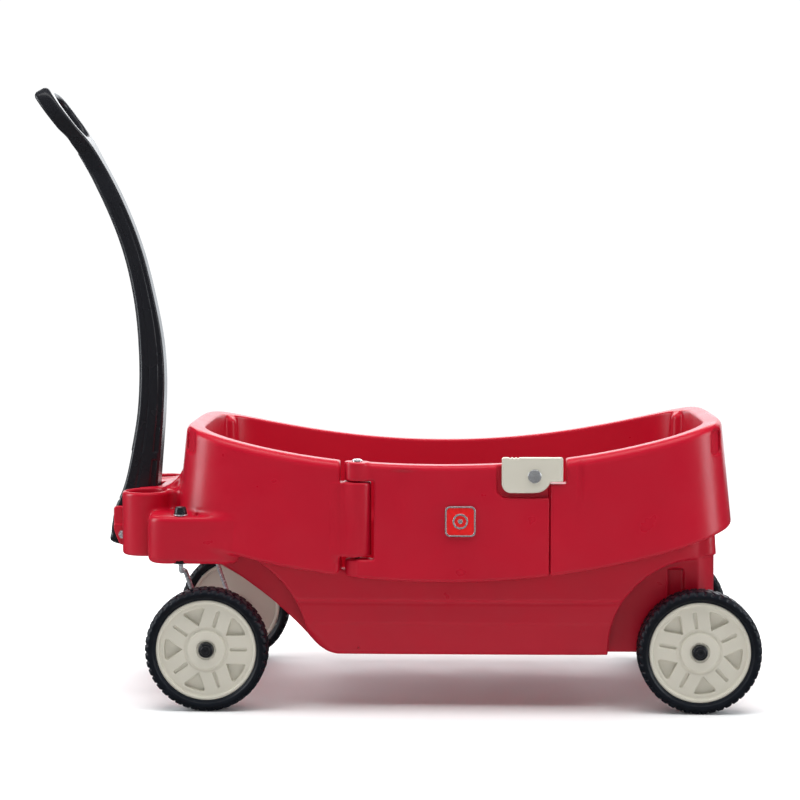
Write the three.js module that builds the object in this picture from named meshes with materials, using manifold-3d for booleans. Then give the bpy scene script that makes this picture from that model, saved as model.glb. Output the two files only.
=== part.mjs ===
// A child's pull wagon: moulded tub with a raised side wall, a hinged side door with a turning latch,
// a front console with two cup holders, two swivelling front wheels on bent rods, a rear axle, and a
// curved pull handle that pivots on a bolt at the nose.
//
// Millimetres, +Z up, the wagon faces -X, its door is on the -Y side, the floor is Z = 0.

import * as THREE from "three";
import { mergeVertices } from "three/addons/utils/BufferGeometryUtils.js";
import Module from "manifold-3d";

const wasm = await Module();
wasm.setup();

// ---------------------------------------------------------------- driving dimensions
const GAP = 0.3; // left between neighbouring pieces
const FRONT_AXLE_X = -293;
const WHEELBASE = 800;
const WHEEL_R = 100;
const WHEEL_Y = 207; // middle of each tyre
const TYRE_HALF_WIDTH = 24;
const RIM_R = 82;
const AXLE_R = 4;

const BODY_CENTRE = 401; // behind the front axle
const CORNER_POWER = 5; // of the superellipse that the wagon has in plan
const RIM = { a: 446, b: 232 }; // half length and half width at the top of the side wall
const SKIRT = { a: 464, b: 243 }; // and at its lower edge
const SHEER_AT = 384; // the lowest point of the rim and the skirt, behind the front axle
const RIM_MID_Z = 404;
const RIM_TILT = 4; // the rim is this much lower on the door side and higher on the other
const RIM_SHEER = 3.4e-4; // the rim climbs by this times the square of the distance from its lowest point
const SKIRT_MID_Z = 216;
const SKIRT_SHEER = 3.65e-4;
const WALL = 28; // double wall, across both skins
const RING_POINTS = 72;
const WHEEL_SIDES = 36;
const SMALL_SIDES = 16; // of bolts, caps and washers

const HULL = { a: 438, b: 215 };
const CABIN = { a: 412, b: 192 };
const BELLY_Z = 91;
const SEAT_Z = 262;
const WELL_FLOOR_Z = 122;
const WELL = { from: 198, to: 642, halfWidth: 188 };
const SILL_RISE = 6; // the tub's lip behind the side wall's lower edge
const REAR_ARCH = { r: 147, innerY: 175, topZ: 212 };
const FRONT_ARCH = { r: 165, innerY: 185, topZ: 245 };
const AXLE_GROOVE = { halfWidth: 15, topZ: 113 };

const HINGE = { at: 246.5, y: -219, pinR: 4, earR: 20.5, barrelR: 22.5, low: 256.5, high: 375.5 };
const DOOR = { edge: 273.5, seam: 555.5, topZ: 403, sheer: 2.6e-4, upperArmZ: 378, lowerArmZ: 251, gap: 1.5 };
const LATCH = { at: 531.5, z: 387, outerY: -238.5, innerY: -227, noseEnd: 577, heelEnd: 479 };

const CUP = { at: -112, y: 118, outerR: 40, innerR: 32, floorZ: 262, topZ: 349 };
const CONSOLE_BOTTOM_Z = 246;
const PAD = { from: -98, to: 60, innerY: 100, bottomZ: 240, topZ: 318 };
const CASTER = { at: -42, legY: 161, bendZ: 226, topZ: 328 };
const BUSH = { r: 9, flangeR: 14, flangeTopZ: 248.6 };
const HITCH = { at: -167, z: 263.5, halfWidth: 35, slotHalf: 27.5 };

// ---------------------------------------------------------------- materials
const material = (color, roughness, metalness = 0) =>
  new THREE.MeshStandardMaterial({ color, roughness, metalness });
const RED = material(0xb51432, 0.35);
const IVORY = material(0xcdc8b6, 0.5);
const TYRE = material(0x15171c, 0.85);
const CHARCOAL = material(0x1b1c21, 0.45);
const STEEL = material(0xc9ccd0, 0.25, 1);
const SILVER = material(0xd8dadd, 0.2, 1);

// ---------------------------------------------------------------- helpers
const group = new THREE.Group();
const st = (d) => FRONT_AXLE_X + d; // a place d mm behind the front axle
const bodyX = (x) => st(BODY_CENTRE) + x;

function solid(geometry) {
  const bare = geometry.clone();
  bare.deleteAttribute("normal");
  bare.deleteAttribute("uv");
  const merged = mergeVertices(bare, 1e-4);
  const vertProperties = new Float32Array(merged.attributes.position.array);
  const triVerts = new Uint32Array(merged.index.array);
  return new wasm.Manifold(new wasm.Mesh({ numProp: 3, vertProperties, triVerts }));
}

function toGeometry(manifold) {
  const cut = manifold.getMesh();
  const geometry = new THREE.BufferGeometry();
  const stride = cut.numProp;
  const positions = new Float32Array(cut.vertProperties.length / stride * 3);
  for (let i = 0; i < positions.length / 3; i += 1) {
    for (let k = 0; k < 3; k += 1) positions[3 * i + k] = cut.vertProperties[stride * i + k];
  }
  geometry.setAttribute("position", new THREE.BufferAttribute(positions, 3));
  geometry.setIndex(new THREE.BufferAttribute(new Uint32Array(cut.triVerts), 1));
  return geometry;
}

function place(name, shape, look, parent = group) {
  const geometry = shape.isBufferGeometry ? shape : toGeometry(shape);
  const mesh = new THREE.Mesh(geometry, look);
  mesh.name = name;
  parent.add(mesh);
  return mesh;
}

const join = (first, ...others) => others.reduce((a, b) => a.add(b), first);
const cut = (first, ...others) => others.reduce((a, b) => a.subtract(b), first);

// A side outline, in (distance behind the front axle, height), pushed across the wagon from y0 to y1.
function sideways(shape, y0, y1) {
  const geometry = new THREE.ExtrudeGeometry(shape, { depth: y1 - y0, bevelEnabled: false, curveSegments: 10 });
  geometry.rotateX(Math.PI / 2);
  geometry.translate(FRONT_AXLE_X, y1, 0);
  return solid(geometry);
}

// A plan outline, in (distance behind the front axle, y), pushed up from z0 to z1.
function upward(shape, z0, z1) {
  const geometry = new THREE.ExtrudeGeometry(shape, { depth: z1 - z0, bevelEnabled: false, curveSegments: 10 });
  geometry.translate(FRONT_AXLE_X, 0, z0);
  return solid(geometry);
}

function polygon(points) {
  return new THREE.Shape(points.map(([x, y]) => new THREE.Vector2(x, y)));
}

function block(d0, d1, y0, y1, z0, z1) {
  return sideways(polygon([[d0, z0], [d1, z0], [d1, z1], [d0, z1]]), y0, y1);
}

// A round bar or hole standing on end.
function upright(d, y, r, z0, z1, sides = SMALL_SIDES) {
  const geometry = new THREE.CylinderGeometry(r, r, z1 - z0, sides);
  geometry.rotateX(Math.PI / 2);
  geometry.translate(st(d), y, (z0 + z1) / 2);
  return solid(geometry);
}

// A round bar or hole lying across the wagon.
function crosswise(d, z, r, y0, y1, sides = SMALL_SIDES) {
  const geometry = new THREE.CylinderGeometry(r, r, y1 - y0, sides);
  geometry.translate(st(d), (y0 + y1) / 2, z);
  return solid(geometry);
}

// A turned piece: profile of [radius, height] pairs, closed on itself or ending on the axis.
function turned(profile, sides = 40) {
  return new THREE.LatheGeometry(profile.map(([r, h]) => new THREE.Vector2(r, h)), sides);
}

// Skin through a stack of equal rings; the stack is capped, or its last ring joins its first.
function loft(rings, closed = false) {
  const count = rings[0].length;
  const positions = rings.flat().flatMap((p) => [p.x, p.y, p.z]);
  const index = [];
  const bands = closed ? rings.length : rings.length - 1;
  for (let i = 0; i < bands; i += 1) {
    const low = i * count;
    const high = ((i + 1) % rings.length) * count;
    for (let j = 0; j < count; j += 1) {
      const k = (j + 1) % count;
      index.push(low + j, low + k, high + k, low + j, high + k, high + j);
    }
  }
  if (!closed) {
    [rings[0], rings[rings.length - 1]].forEach((ring, end) => {
      const centre = positions.length / 3;
      const middle = ring.reduce((sum, p) => sum.add(p), new THREE.Vector3()).divideScalar(count);
      positions.push(middle.x, middle.y, middle.z);
      const base = end * (rings.length - 1) * count;
      for (let j = 0; j < count; j += 1) {
        const k = (j + 1) % count;
        if (end) index.push(base + j, base + k, centre);
        else index.push(base + k, base + j, centre);
      }
    });
  }
  const geometry = new THREE.BufferGeometry();
  geometry.setAttribute("position", new THREE.Float32BufferAttribute(positions, 3));
  geometry.setIndex(index);
  return solid(geometry);
}

// Evenly spaced points round the wagon's plan outline, half length a and half width b.
function planOutline(a, b, count = RING_POINTS) {
  const fine = [];
  const steps = 1440;
  for (let i = 0; i < steps; i += 1) {
    const angle = (i / steps) * 2 * Math.PI;
    const c = Math.cos(angle);
    const s = Math.sin(angle);
    const r = (Math.abs(c / a) ** CORNER_POWER + Math.abs(s / b) ** CORNER_POWER) ** (-1 / CORNER_POWER);
    fine.push(new THREE.Vector2(r * c, r * s));
  }
  fine.push(fine[0].clone());
  const along = [0];
  for (let i = 1; i < fine.length; i += 1) along.push(along[i - 1] + fine[i].distanceTo(fine[i - 1]));
  const points = [];
  let i = 0;
  for (let n = 0; n < count; n += 1) {
    const target = (along[steps] * n) / count;
    while (along[i + 1] < target) i += 1;
    const t = (target - along[i]) / (along[i + 1] - along[i]);
    points.push(fine[i].clone().lerp(fine[i + 1], t));
  }
  return points;
}

const sheer = (x, climb) => climb * (BODY_CENTRE + x - SHEER_AT) ** 2;
const rimZ = (x, y) => RIM_MID_Z + sheer(x, RIM_SHEER) + (RIM_TILT * y) / RIM.b;
const doorTopZ = (x) => DOOR.topZ + sheer(x, DOOR.sheer);
const skirtZ = (x) => SKIRT_MID_Z + sheer(x, SKIRT_SHEER);

// One ring of the side wall: down = 0 at its top, 1 at the skirt's edge.
function wallRing(down, inset, rise, topZ = rimZ) {
  const a = THREE.MathUtils.lerp(RIM.a, SKIRT.a, down) - inset;
  const b = THREE.MathUtils.lerp(RIM.b, SKIRT.b, down) - inset;
  return planOutline(a, b).map(
    (p) => new THREE.Vector3(bodyX(p.x), p.y, THREE.MathUtils.lerp(topZ(p.x, p.y), skirtZ(p.x), down) + rise),
  );
}

// The whole side wall as a closed hoop, grown by `grow` on every side.
function wallHoop(grow = 0, topZ = rimZ) {
  const round = 6;
  const section = [
    [0, round - grow, grow], [0, 1.5 - grow, grow - 2], [0, -grow, -round],
    [1, -grow, 4], [1, 4 - grow, -grow], [1, WALL + grow, -grow],
    [0, WALL + grow, -round], [0, WALL - 1.5 + grow, grow - 2], [0, WALL - round + grow, grow],
  ];
  return loft(section.reverse().map(([down, inset, rise]) => wallRing(down, inset, rise, topZ)), true);
}

// The space inside the side wall's outer skin, down to its lower edge.
function outerShell(grow) {
  return loft([wallRing(1, -grow, -grow), wallRing(0, -grow, grow)]);
}

// ---------------------------------------------------------------- side wall and door
function sideWall(hoop) {
  const outerY = -300;
  const innerY = -150;
  const opening = block(219, DOOR.seam + DOOR.gap, outerY, innerY, 180, 480);
  const notch = block(DOOR.seam, LATCH.noseEnd + 5.5, outerY, innerY, 374.5, 480);
  const neck = block(205, HINGE.at, outerY, innerY, HINGE.low, HINGE.high).intersect(hoop);
  const barrel = upright(HINGE.at, HINGE.y, HINGE.barrelR, HINGE.low, HINGE.high);
  const pinHole = upright(HINGE.at, HINGE.y, HINGE.pinR + GAP, 200, 420);
  return cut(join(cut(hoop, opening, notch), neck, barrel), pinHole);
}

function latchRecess() {
  const shape = new THREE.Shape();
  shape.moveTo(DOOR.seam + 10, 351.5);
  shape.lineTo(488, 351.5);
  shape.absarc(488, 368.5, 17, -Math.PI / 2, -Math.PI, true);
  shape.lineTo(471, 440);
  shape.lineTo(DOOR.seam + 10, 440);
  return sideways(shape, -300, LATCH.innerY + 0.5);
}

function sideDoor() {
  const whole = block(HINGE.at, DOOR.seam, -300, -150, 180, 480).intersect(wallHoop(0, doorTopZ));
  const barrelRoom = block(150, DOOR.edge, -300, -150, DOOR.lowerArmZ, DOOR.upperArmZ);
  const topZ = doorTopZ(HINGE.at - BODY_CENTRE);
  const lowZ = skirtZ(HINGE.at - BODY_CENTRE);
  const upperEar = upright(HINGE.at, HINGE.y, HINGE.earR, DOOR.upperArmZ, topZ);
  const lowerEar = upright(HINGE.at, HINGE.y, HINGE.earR, lowZ, DOOR.lowerArmZ);
  const pinHole = upright(HINGE.at, HINGE.y, HINGE.pinR + GAP, 200, 440);
  const boltHole = crosswise(LATCH.at, LATCH.z, 4 + GAP, -260, -180);
  const panel = cut(whole, barrelRoom);
  return cut(join(panel, upperEar, lowerEar), pinHole, boltHole, latchRecess());
}

function hingePin() {
  const top = doorTopZ(HINGE.at - BODY_CENTRE);
  const low = skirtZ(HINGE.at - BODY_CENTRE);
  const geometry = turned([
    [0, low + 0.4], [HINGE.pinR, low + 0.4], [HINGE.pinR, top + 0.4], [9, top + 0.4], [8.4, top + 2.6],
    [5, top + 4.6], [0, top + 5],
  ], SMALL_SIDES);
  geometry.rotateX(Math.PI / 2);
  geometry.translate(st(HINGE.at), HINGE.y, 0);
  return geometry;
}

function latchPlate() {
  const reach = 27;
  const shape = new THREE.Shape();
  shape.moveTo(LATCH.noseEnd, 378);
  shape.lineTo(LATCH.noseEnd, 414);
  shape.absarc(LATCH.noseEnd - 3, 414, 3, 0, Math.PI / 2, false);
  shape.lineTo(LATCH.heelEnd + 5, 417);
  shape.absarc(LATCH.heelEnd + 5, 412, 5, Math.PI / 2, Math.PI, false);
  shape.lineTo(LATCH.heelEnd, 375);
  shape.absarc(LATCH.heelEnd + 15, 375, 15, Math.PI, 1.5 * Math.PI, false);
  shape.lineTo(LATCH.at, 360);
  shape.absarc(LATCH.at, LATCH.z, reach, -Math.PI / 2, -Math.asin(9 / reach), false);
  const plate = sideways(shape, LATCH.outerY, LATCH.innerY);
  return cut(plate, crosswise(LATCH.at, LATCH.z, 4 + GAP, -260, -200));
}

// Round-headed bolt through the latch and the door, and the nut behind the door.
function latchBolt() {
  const geometry = turned([
    [0, -196], [3.2, -196], [3.2, -197], [4, -198], [4, LATCH.outerY - 0.4], [11, LATCH.outerY - 0.4],
    [11, LATCH.outerY - 1.6], [9.4, LATCH.outerY - 3.2], [6, LATCH.outerY - 4.2], [0, LATCH.outerY - 4.6],
  ].reverse(), SMALL_SIDES);
  geometry.translate(st(LATCH.at), 0, LATCH.z);
  return geometry;
}

function nut(r, hole, y0, y1, d, z) {
  return cut(crosswise(d, z, r, y0, y1, 6), crosswise(d, z, hole, y0 - 5, y1 + 5));
}

function badge() {
  const half = 24.5;
  const r = 8;
  const shape = new THREE.Shape();
  shape.absarc(half - r, half - r, r, 0, Math.PI / 2, false);
  shape.absarc(r - half, half - r, r, Math.PI / 2, Math.PI, false);
  shape.absarc(r - half, r - half, r, Math.PI, 1.5 * Math.PI, false);
  shape.absarc(half - r, r - half, r, 1.5 * Math.PI, 2 * Math.PI, false);
  const geometry = new THREE.ExtrudeGeometry(shape, {
    depth: 1.6, bevelEnabled: true, bevelThickness: 0.5, bevelSize: 0.8, bevelSegments: 1, bevelOffset: -0.8,
    curveSegments: 3,
  });
  geometry.rotateX(Math.PI / 2);
  return geometry;
}

// ---------------------------------------------------------------- tub
function hullRing(inset, height) {
  return planOutline(HULL.a - inset, HULL.b - inset).map(
    (p) => new THREE.Vector3(bodyX(p.x), p.y, height(p.x)),
  );
}

function cabinRing(z) {
  return planOutline(CABIN.a, CABIN.b).map((p) => new THREE.Vector3(bodyX(p.x), p.y, z));
}

// The space that the tub takes at the nose.
function hullSpace() {
  return loft([hullRing(-GAP, () => PAD.bottomZ - GAP), hullRing(-GAP, () => PAD.topZ + 12)]);
}

function tub(...keepOut) {
  const level = (z) => () => z;
  const lip = (x) => Math.max(SEAT_Z, skirtZ(x) + SILL_RISE);
  const blank = loft([
    hullRing(7, level(80)), hullRing(5, level(142)), hullRing(3.5, level(144)), hullRing(3, level(174)),
    hullRing(0, level(183)), hullRing(0, lip),
  ]);
  const profile = polygon([
    [-60, 400], [-60, SEAT_Z - 12], [11, 243], [58, 215], [108, 176], [148, 149], [184, 98], [200, BELLY_Z],
    [772, BELLY_Z], [822, 106], [838, 130], [900, 400],
  ]);
  const belly = sideways(profile, -300, 300);
  const cabin = loft([cabinRing(SEAT_Z), cabinRing(460)]);
  const halfWell = WELL.halfWidth;
  const well = upward(polygon([
    [WELL.from, -halfWell], [WELL.to, -halfWell], [WELL.to, halfWell], [WELL.from, halfWell],
  ]), WELL_FLOOR_Z, 400);
  const sill = block(WELL.from, WELL.to, -230, 230, SKIRT_MID_Z + SILL_RISE, 400);
  const cuts = [cabin, well, sill, ...keepOut];
  for (const side of [-1, 1]) {
    const rearBow = crosswise(WHEELBASE, WHEEL_R, REAR_ARCH.r, REAR_ARCH.innerY, 260, 60);
    const rearWell = join(
      cut(rearBow, block(WHEELBASE + 3, 1000, 170, 270, -100, 300)),
      block(WHEELBASE + 2, 900, REAR_ARCH.innerY, 260, 60, REAR_ARCH.topZ),
    );
    const frontWell = join(
      crosswise(0, WHEEL_R, FRONT_ARCH.r, FRONT_ARCH.innerY, 260, 60),
      block(-80, 89, FRONT_ARCH.innerY, 260, 60, FRONT_ARCH.topZ),
    );
    for (const arch of [rearWell, frontWell]) cuts.push(side > 0 ? arch : arch.mirror([0, 1, 0]));
  }
  const grooveFrom = WHEELBASE - AXLE_GROOVE.halfWidth;
  cuts.push(block(grooveFrom, WHEELBASE + AXLE_GROOVE.halfWidth, -260, 260, 60, AXLE_GROOVE.topZ));
  return cut(blank.intersect(belly), ...cuts);
}

// ---------------------------------------------------------------- console and hitch
// The pad that carries one caster.
function casterPad(side) {
  const shape = new THREE.Shape();
  const r = 36;
  const centre = { d: PAD.from + r, y: 187 };
  shape.moveTo(PAD.from, PAD.innerY);
  shape.lineTo(PAD.to, PAD.innerY);
  shape.lineTo(PAD.to, 219);
  shape.lineTo(centre.d, centre.y + r);
  shape.absarc(centre.d, centre.y, r, Math.PI / 2, Math.PI, false);
  const pad = upward(shape, PAD.bottomZ, PAD.topZ);
  return side > 0 ? pad : pad.mirror([0, 1, 0]);
}

function frontConsole(...keepOut) {
  const deck = sideways(polygon([
    [-140, CONSOLE_BOTTOM_Z], [-20, CONSOLE_BOTTOM_Z], [-20, 386], [-52, 378], [-84, CUP.topZ],
    [-140, CUP.topZ - 4],
  ]), -CUP.y - 12, CUP.y + 12);
  const slot = block(-200, -103.5, -HITCH.halfWidth - 0.4, HITCH.halfWidth + 0.4, 200, 400);
  let shape = deck;
  for (const side of [-1, 1]) {
    shape = join(shape, casterPad(side));
    shape = join(shape, upright(CUP.at, side * CUP.y, CUP.outerR, CONSOLE_BOTTOM_Z - 3, CUP.topZ, 32));
  }
  const holes = [-1, 1].flatMap((side) => [
    upright(CUP.at, side * CUP.y, CUP.innerR, CUP.floorZ, 400, 32),
    upright(CASTER.at, side * WHEEL_Y, BUSH.r + GAP, 200, 350),
    upright(CASTER.at, side * WHEEL_Y, BUSH.flangeR + GAP, 200, BUSH.flangeTopZ + 0.4),
  ]);
  return cut(shape, slot, ...holes, ...keepOut);
}

function hitchBracket() {
  const outline = new THREE.Shape();
  outline.moveTo(-104, 256);
  outline.lineTo(-104, 312);
  outline.lineTo(-178, 312);
  outline.absarc(-178, 307, 5, Math.PI / 2, Math.PI, false);
  outline.lineTo(-183, 270);
  outline.lineTo(-174, 248);
  outline.absarc(-168, 251, 6, Math.PI, 1.5 * Math.PI, false);
  outline.lineTo(-120, 245);
  const whole = sideways(outline, -HITCH.halfWidth, HITCH.halfWidth);
  const inside = block(-200, -110.5, -HITCH.slotHalf, HITCH.slotHalf, 200, 330);
  return cut(whole, inside, crosswise(HITCH.at, HITCH.z, 5 + GAP, -60, 60));
}

function hitchBolt() {
  const end = HITCH.halfWidth;
  const head = crosswise(HITCH.at, HITCH.z, 7.5, -end - 6, -end - 0.4, 6);
  return join(head, crosswise(HITCH.at, HITCH.z, 5, -end - 1, end + 9));
}

// ---------------------------------------------------------------- pull handle
// Stations from heel to grip: front edge (d, z), rear edge (d, z) and width across the wagon.
const HANDLE_STATIONS = [
  [-175, 243.5, -157, 243, 40],
  [-185, 251, -138, 247, 50],
  [-188.5, 266, -122, 268, 52],
  [-184, 296, -113.5, 300, 53],
  [-167, 343, -109.5, 343, 53],
  [-152, 409, -103, 409, 50],
  [-142, 470, -98, 470, 47],
  [-138.5, 526, -96, 526, 44],
  [-139, 580, -98, 582, 42],
  [-147, 668, -114, 676, 40],
  [-167, 756, -138, 767, 40],
  [-202, 844, -175, 857, 42],
  [-223, 886, -198, 900, 60],
  [-243, 920, -219, 935, 104],
  [-266, 952, -243, 967, 126],
  [-290, 985, -268, 1001, 134],
  [-304, 1005, -283, 1021, 122],
  [-311, 1015, -293, 1029, 92],
];

function handleSection([frontD, frontZ, rearD, rearZ, width]) {
  const sides = 16;
  const power = 3.2;
  const ring = [];
  for (let i = 0; i < sides; i += 1) {
    const angle = (i / sides) * 2 * Math.PI;
    const c = Math.cos(angle);
    const s = Math.sin(angle);
    const depth = Math.sign(c) * Math.abs(c) ** (2 / power);
    const across = Math.sign(s) * Math.abs(s) ** (2 / power);
    ring.push(new THREE.Vector3(
      st((frontD + rearD) / 2 + (depth * (rearD - frontD)) / 2),
      (across * width) / 2,
      (frontZ + rearZ) / 2 + (depth * (rearZ - frontZ)) / 2,
    ));
  }
  return ring;
}

// The finger opening through the grip, seen square on.
function gripOpening() {
  const shape = new THREE.Shape();
  const halfLength = 44;
  const halfWidth = 42;
  const r = 32;
  shape.absarc(halfLength - r, halfWidth - r, r, 0, Math.PI / 2, false);
  shape.absarc(r - halfLength, halfWidth - r, r, Math.PI / 2, Math.PI, false);
  shape.absarc(r - halfLength, r - halfWidth, r, Math.PI, 1.5 * Math.PI, false);
  shape.absarc(halfLength - r, r - halfWidth, r, 1.5 * Math.PI, 2 * Math.PI, false);
  const geometry = new THREE.ExtrudeGeometry(shape, { depth: 120, bevelEnabled: false, curveSegments: 6 });
  geometry.translate(0, 0, -60);
  const along = new THREE.Vector3(-0.58, 0, 0.815).normalize();
  const across = new THREE.Vector3(0, 1, 0);
  const through = new THREE.Vector3().crossVectors(along, across);
  geometry.applyMatrix4(new THREE.Matrix4().makeBasis(along, across, through));
  geometry.translate(st(-262), 0, 976);
  return solid(geometry);
}

function pullHandle() {
  const bar = loft(HANDLE_STATIONS.map(handleSection));
  return cut(bar, gripOpening(), crosswise(HITCH.at, HITCH.z, 5 + GAP, -60, 60));
}

// ---------------------------------------------------------------- wheels, casters and axle
// Wheels are turned about their own axis, h = 0 at the tyre's middle, h > 0 outward.
const TYRE_PROFILE = [
  [RIM_R + GAP, -19], [95, -TYRE_HALF_WIDTH], [WHEEL_R, -17], [WHEEL_R, 17], [95, TYRE_HALF_WIDTH],
  [RIM_R + GAP, 19], [RIM_R + GAP, -19],
];
const RIM_PROFILE = [
  [AXLE_R + 0.4, -24], [15, -24], [17, -10], [74, -8], [76, -18], [RIM_R, -18], [RIM_R, 18], [75, 17],
  [72, 11], [17, 11], [AXLE_R + 0.4, 11], [AXLE_R + 0.4, -24],
];
const CAP_PROFILE = [
  [0, 20.5], [AXLE_R + GAP, 20.5], [AXLE_R + GAP, 11.4], [12.4, 11.4], [12.4, 20], [11.4, 23.4],
  [7, 25.6], [0, 26],
];
const SPACER_PROFILE = [
  [AXLE_R + GAP, -24.4], [AXLE_R + GAP, -30], [10, -30], [10, -24.4], [AXLE_R + GAP, -24.4],
];

function wheel(end, side, d) {
  const label = `${end}_${side > 0 ? "right" : "left"}`;
  const assembly = new THREE.Group();
  assembly.position.set(st(d), side * WHEEL_Y, WHEEL_R);
  assembly.rotation.x = side > 0 ? 0 : Math.PI;
  group.add(assembly);
  place(`tyre_${label}`, turned(TYRE_PROFILE, WHEEL_SIDES), TYRE, assembly);
  place(`wheel_${label}`, turned(RIM_PROFILE, WHEEL_SIDES), IVORY, assembly);
  place(`axle_cap_${label}`, turned(CAP_PROFILE, SMALL_SIDES), CHARCOAL, assembly);
  place(`axle_spacer_${label}`, turned(SPACER_PROFILE, SMALL_SIDES), STEEL, assembly);
}

function rodPath(side) {
  const corners = [
    [CASTER.at, WHEEL_Y, CASTER.topZ], [CASTER.at, WHEEL_Y, CASTER.bendZ],
    [CASTER.at, CASTER.legY, CASTER.bendZ - 4], [0, CASTER.legY, WHEEL_R], [0, WHEEL_Y + 19, WHEEL_R],
  ].map(([d, y, z]) => new THREE.Vector3(st(d), side * y, z));
  const bend = 11;
  const path = new THREE.CurvePath();
  let from = corners[0];
  for (let i = 1; i < corners.length - 1; i += 1) {
    const before = corners[i].clone().lerp(corners[i - 1], bend / corners[i].distanceTo(corners[i - 1]));
    const after = corners[i].clone().lerp(corners[i + 1], bend / corners[i].distanceTo(corners[i + 1]));
    path.add(new THREE.LineCurve3(from, before));
    path.add(new THREE.QuadraticBezierCurve3(before, corners[i], after));
    from = after;
  }
  path.add(new THREE.LineCurve3(from, corners[corners.length - 1]));
  return path;
}

function casterRod(side) {
  const section = new THREE.Shape();
  section.absarc(0, 0, AXLE_R - 0.05, 0, 2 * Math.PI, false);
  return new THREE.ExtrudeGeometry(section, {
    steps: 36, bevelEnabled: false, extrudePath: rodPath(side), curveSegments: 4,
  });
}

const standing = (geometry, d, y) => {
  geometry.rotateX(Math.PI / 2);
  geometry.translate(st(d), y, 0);
  return geometry;
};

function caster(side) {
  const label = side > 0 ? "right" : "left";
  const y = side * WHEEL_Y;
  const r = AXLE_R + GAP;
  place(`caster_rod_${label}`, casterRod(side), STEEL);
  place(`caster_bush_${label}`, standing(turned([
    [r, PAD.bottomZ], [BUSH.flangeR, PAD.bottomZ], [BUSH.flangeR, BUSH.flangeTopZ],
    [BUSH.r, BUSH.flangeTopZ], [BUSH.r, PAD.topZ - 1], [r, PAD.topZ - 1], [r, PAD.bottomZ],
  ], SMALL_SIDES), CASTER.at, y), CHARCOAL);
  place(`caster_washer_${label}`, standing(turned([
    [r, PAD.topZ + 0.4], [11.5, PAD.topZ + 0.4], [11.5, PAD.topZ + 2.2], [r, PAD.topZ + 2.2],
    [r, PAD.topZ + 0.4],
  ], SMALL_SIDES), CASTER.at, y), STEEL);
  place(`caster_cap_${label}`, standing(turned([
    [r, PAD.topZ + 2.6], [10.8, PAD.topZ + 2.6], [10.4, PAD.topZ + 6], [8.8, PAD.topZ + 12.6],
    [7.6, PAD.topZ + 14.2], [0, PAD.topZ + 14.6], [0, PAD.topZ + 11], [r, PAD.topZ + 11],
    [r, PAD.topZ + 2.6],
  ], SMALL_SIDES), CASTER.at, y), CHARCOAL);
}

function rearAxle() {
  return crosswise(WHEELBASE, WHEEL_R, AXLE_R, -WHEEL_Y - 19.5, WHEEL_Y + 19.5);
}

// A moulded clip that holds the rear axle up in its groove.
function axleClip(side) {
  const clip = block(WHEELBASE - 14.5, WHEELBASE + 14.5, 130, 165, 93, 112.5);
  const placed = side > 0 ? clip : clip.mirror([0, 1, 0]);
  return cut(placed, crosswise(WHEELBASE, WHEEL_R, AXLE_R + GAP, -260, 260));
}

// ---------------------------------------------------------------- assembly
const hoop = wallHoop();
const hoopRoom = wallHoop(GAP);
place("tub", tub(hoopRoom, wallHoop(GAP, doorTopZ)), RED);
place("side_wall", sideWall(hoop), RED);
place("side_door", sideDoor(), RED);
place("door_hinge_pin", hingePin(), SILVER);
place("door_latch", latchPlate(), IVORY);
place("latch_bolt", latchBolt(), SILVER);
place("latch_nut", nut(7.5, 4 + GAP, -203.5, -198.5, LATCH.at, LATCH.z), STEEL);
const badgeMesh = place("door_badge", badge(), SILVER);
badgeMesh.position.set(st(412.7), -238.6, 314);
badgeMesh.rotation.x = -Math.atan2(SKIRT.b - RIM.b, RIM_MID_Z - SKIRT_MID_Z);

place("front_console", frontConsole(hoopRoom, outerShell(GAP), hullSpace()), RED);
place("hitch_bracket", hitchBracket(), RED);
place("hitch_bolt", hitchBolt(), STEEL);
place("hitch_nut", nut(8, 5 + GAP, HITCH.halfWidth + 0.5, HITCH.halfWidth + 7, HITCH.at, HITCH.z), STEEL);
place("pull_handle", pullHandle(), CHARCOAL);

for (const side of [-1, 1]) {
  caster(side);
  wheel("front", side, 0);
  wheel("rear", side, WHEELBASE);
  place(`axle_clip_${side > 0 ? "right" : "left"}`, axleClip(side), CHARCOAL);
}
place("rear_axle", rearAxle(), STEEL);

export default group;
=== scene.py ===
"""A child's pull wagon: moulded body, hinged side door, curved pull handle, casters and wheels.

Fields and outlines are worked in millimetres, with d measured back from the front axle, y across
the wagon and z up from the floor. A field gives how far a point lies outside a shape: it is
negative inside, and the shape's skin is where it is zero. Meshes are made in metres.
"""

import math

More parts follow.
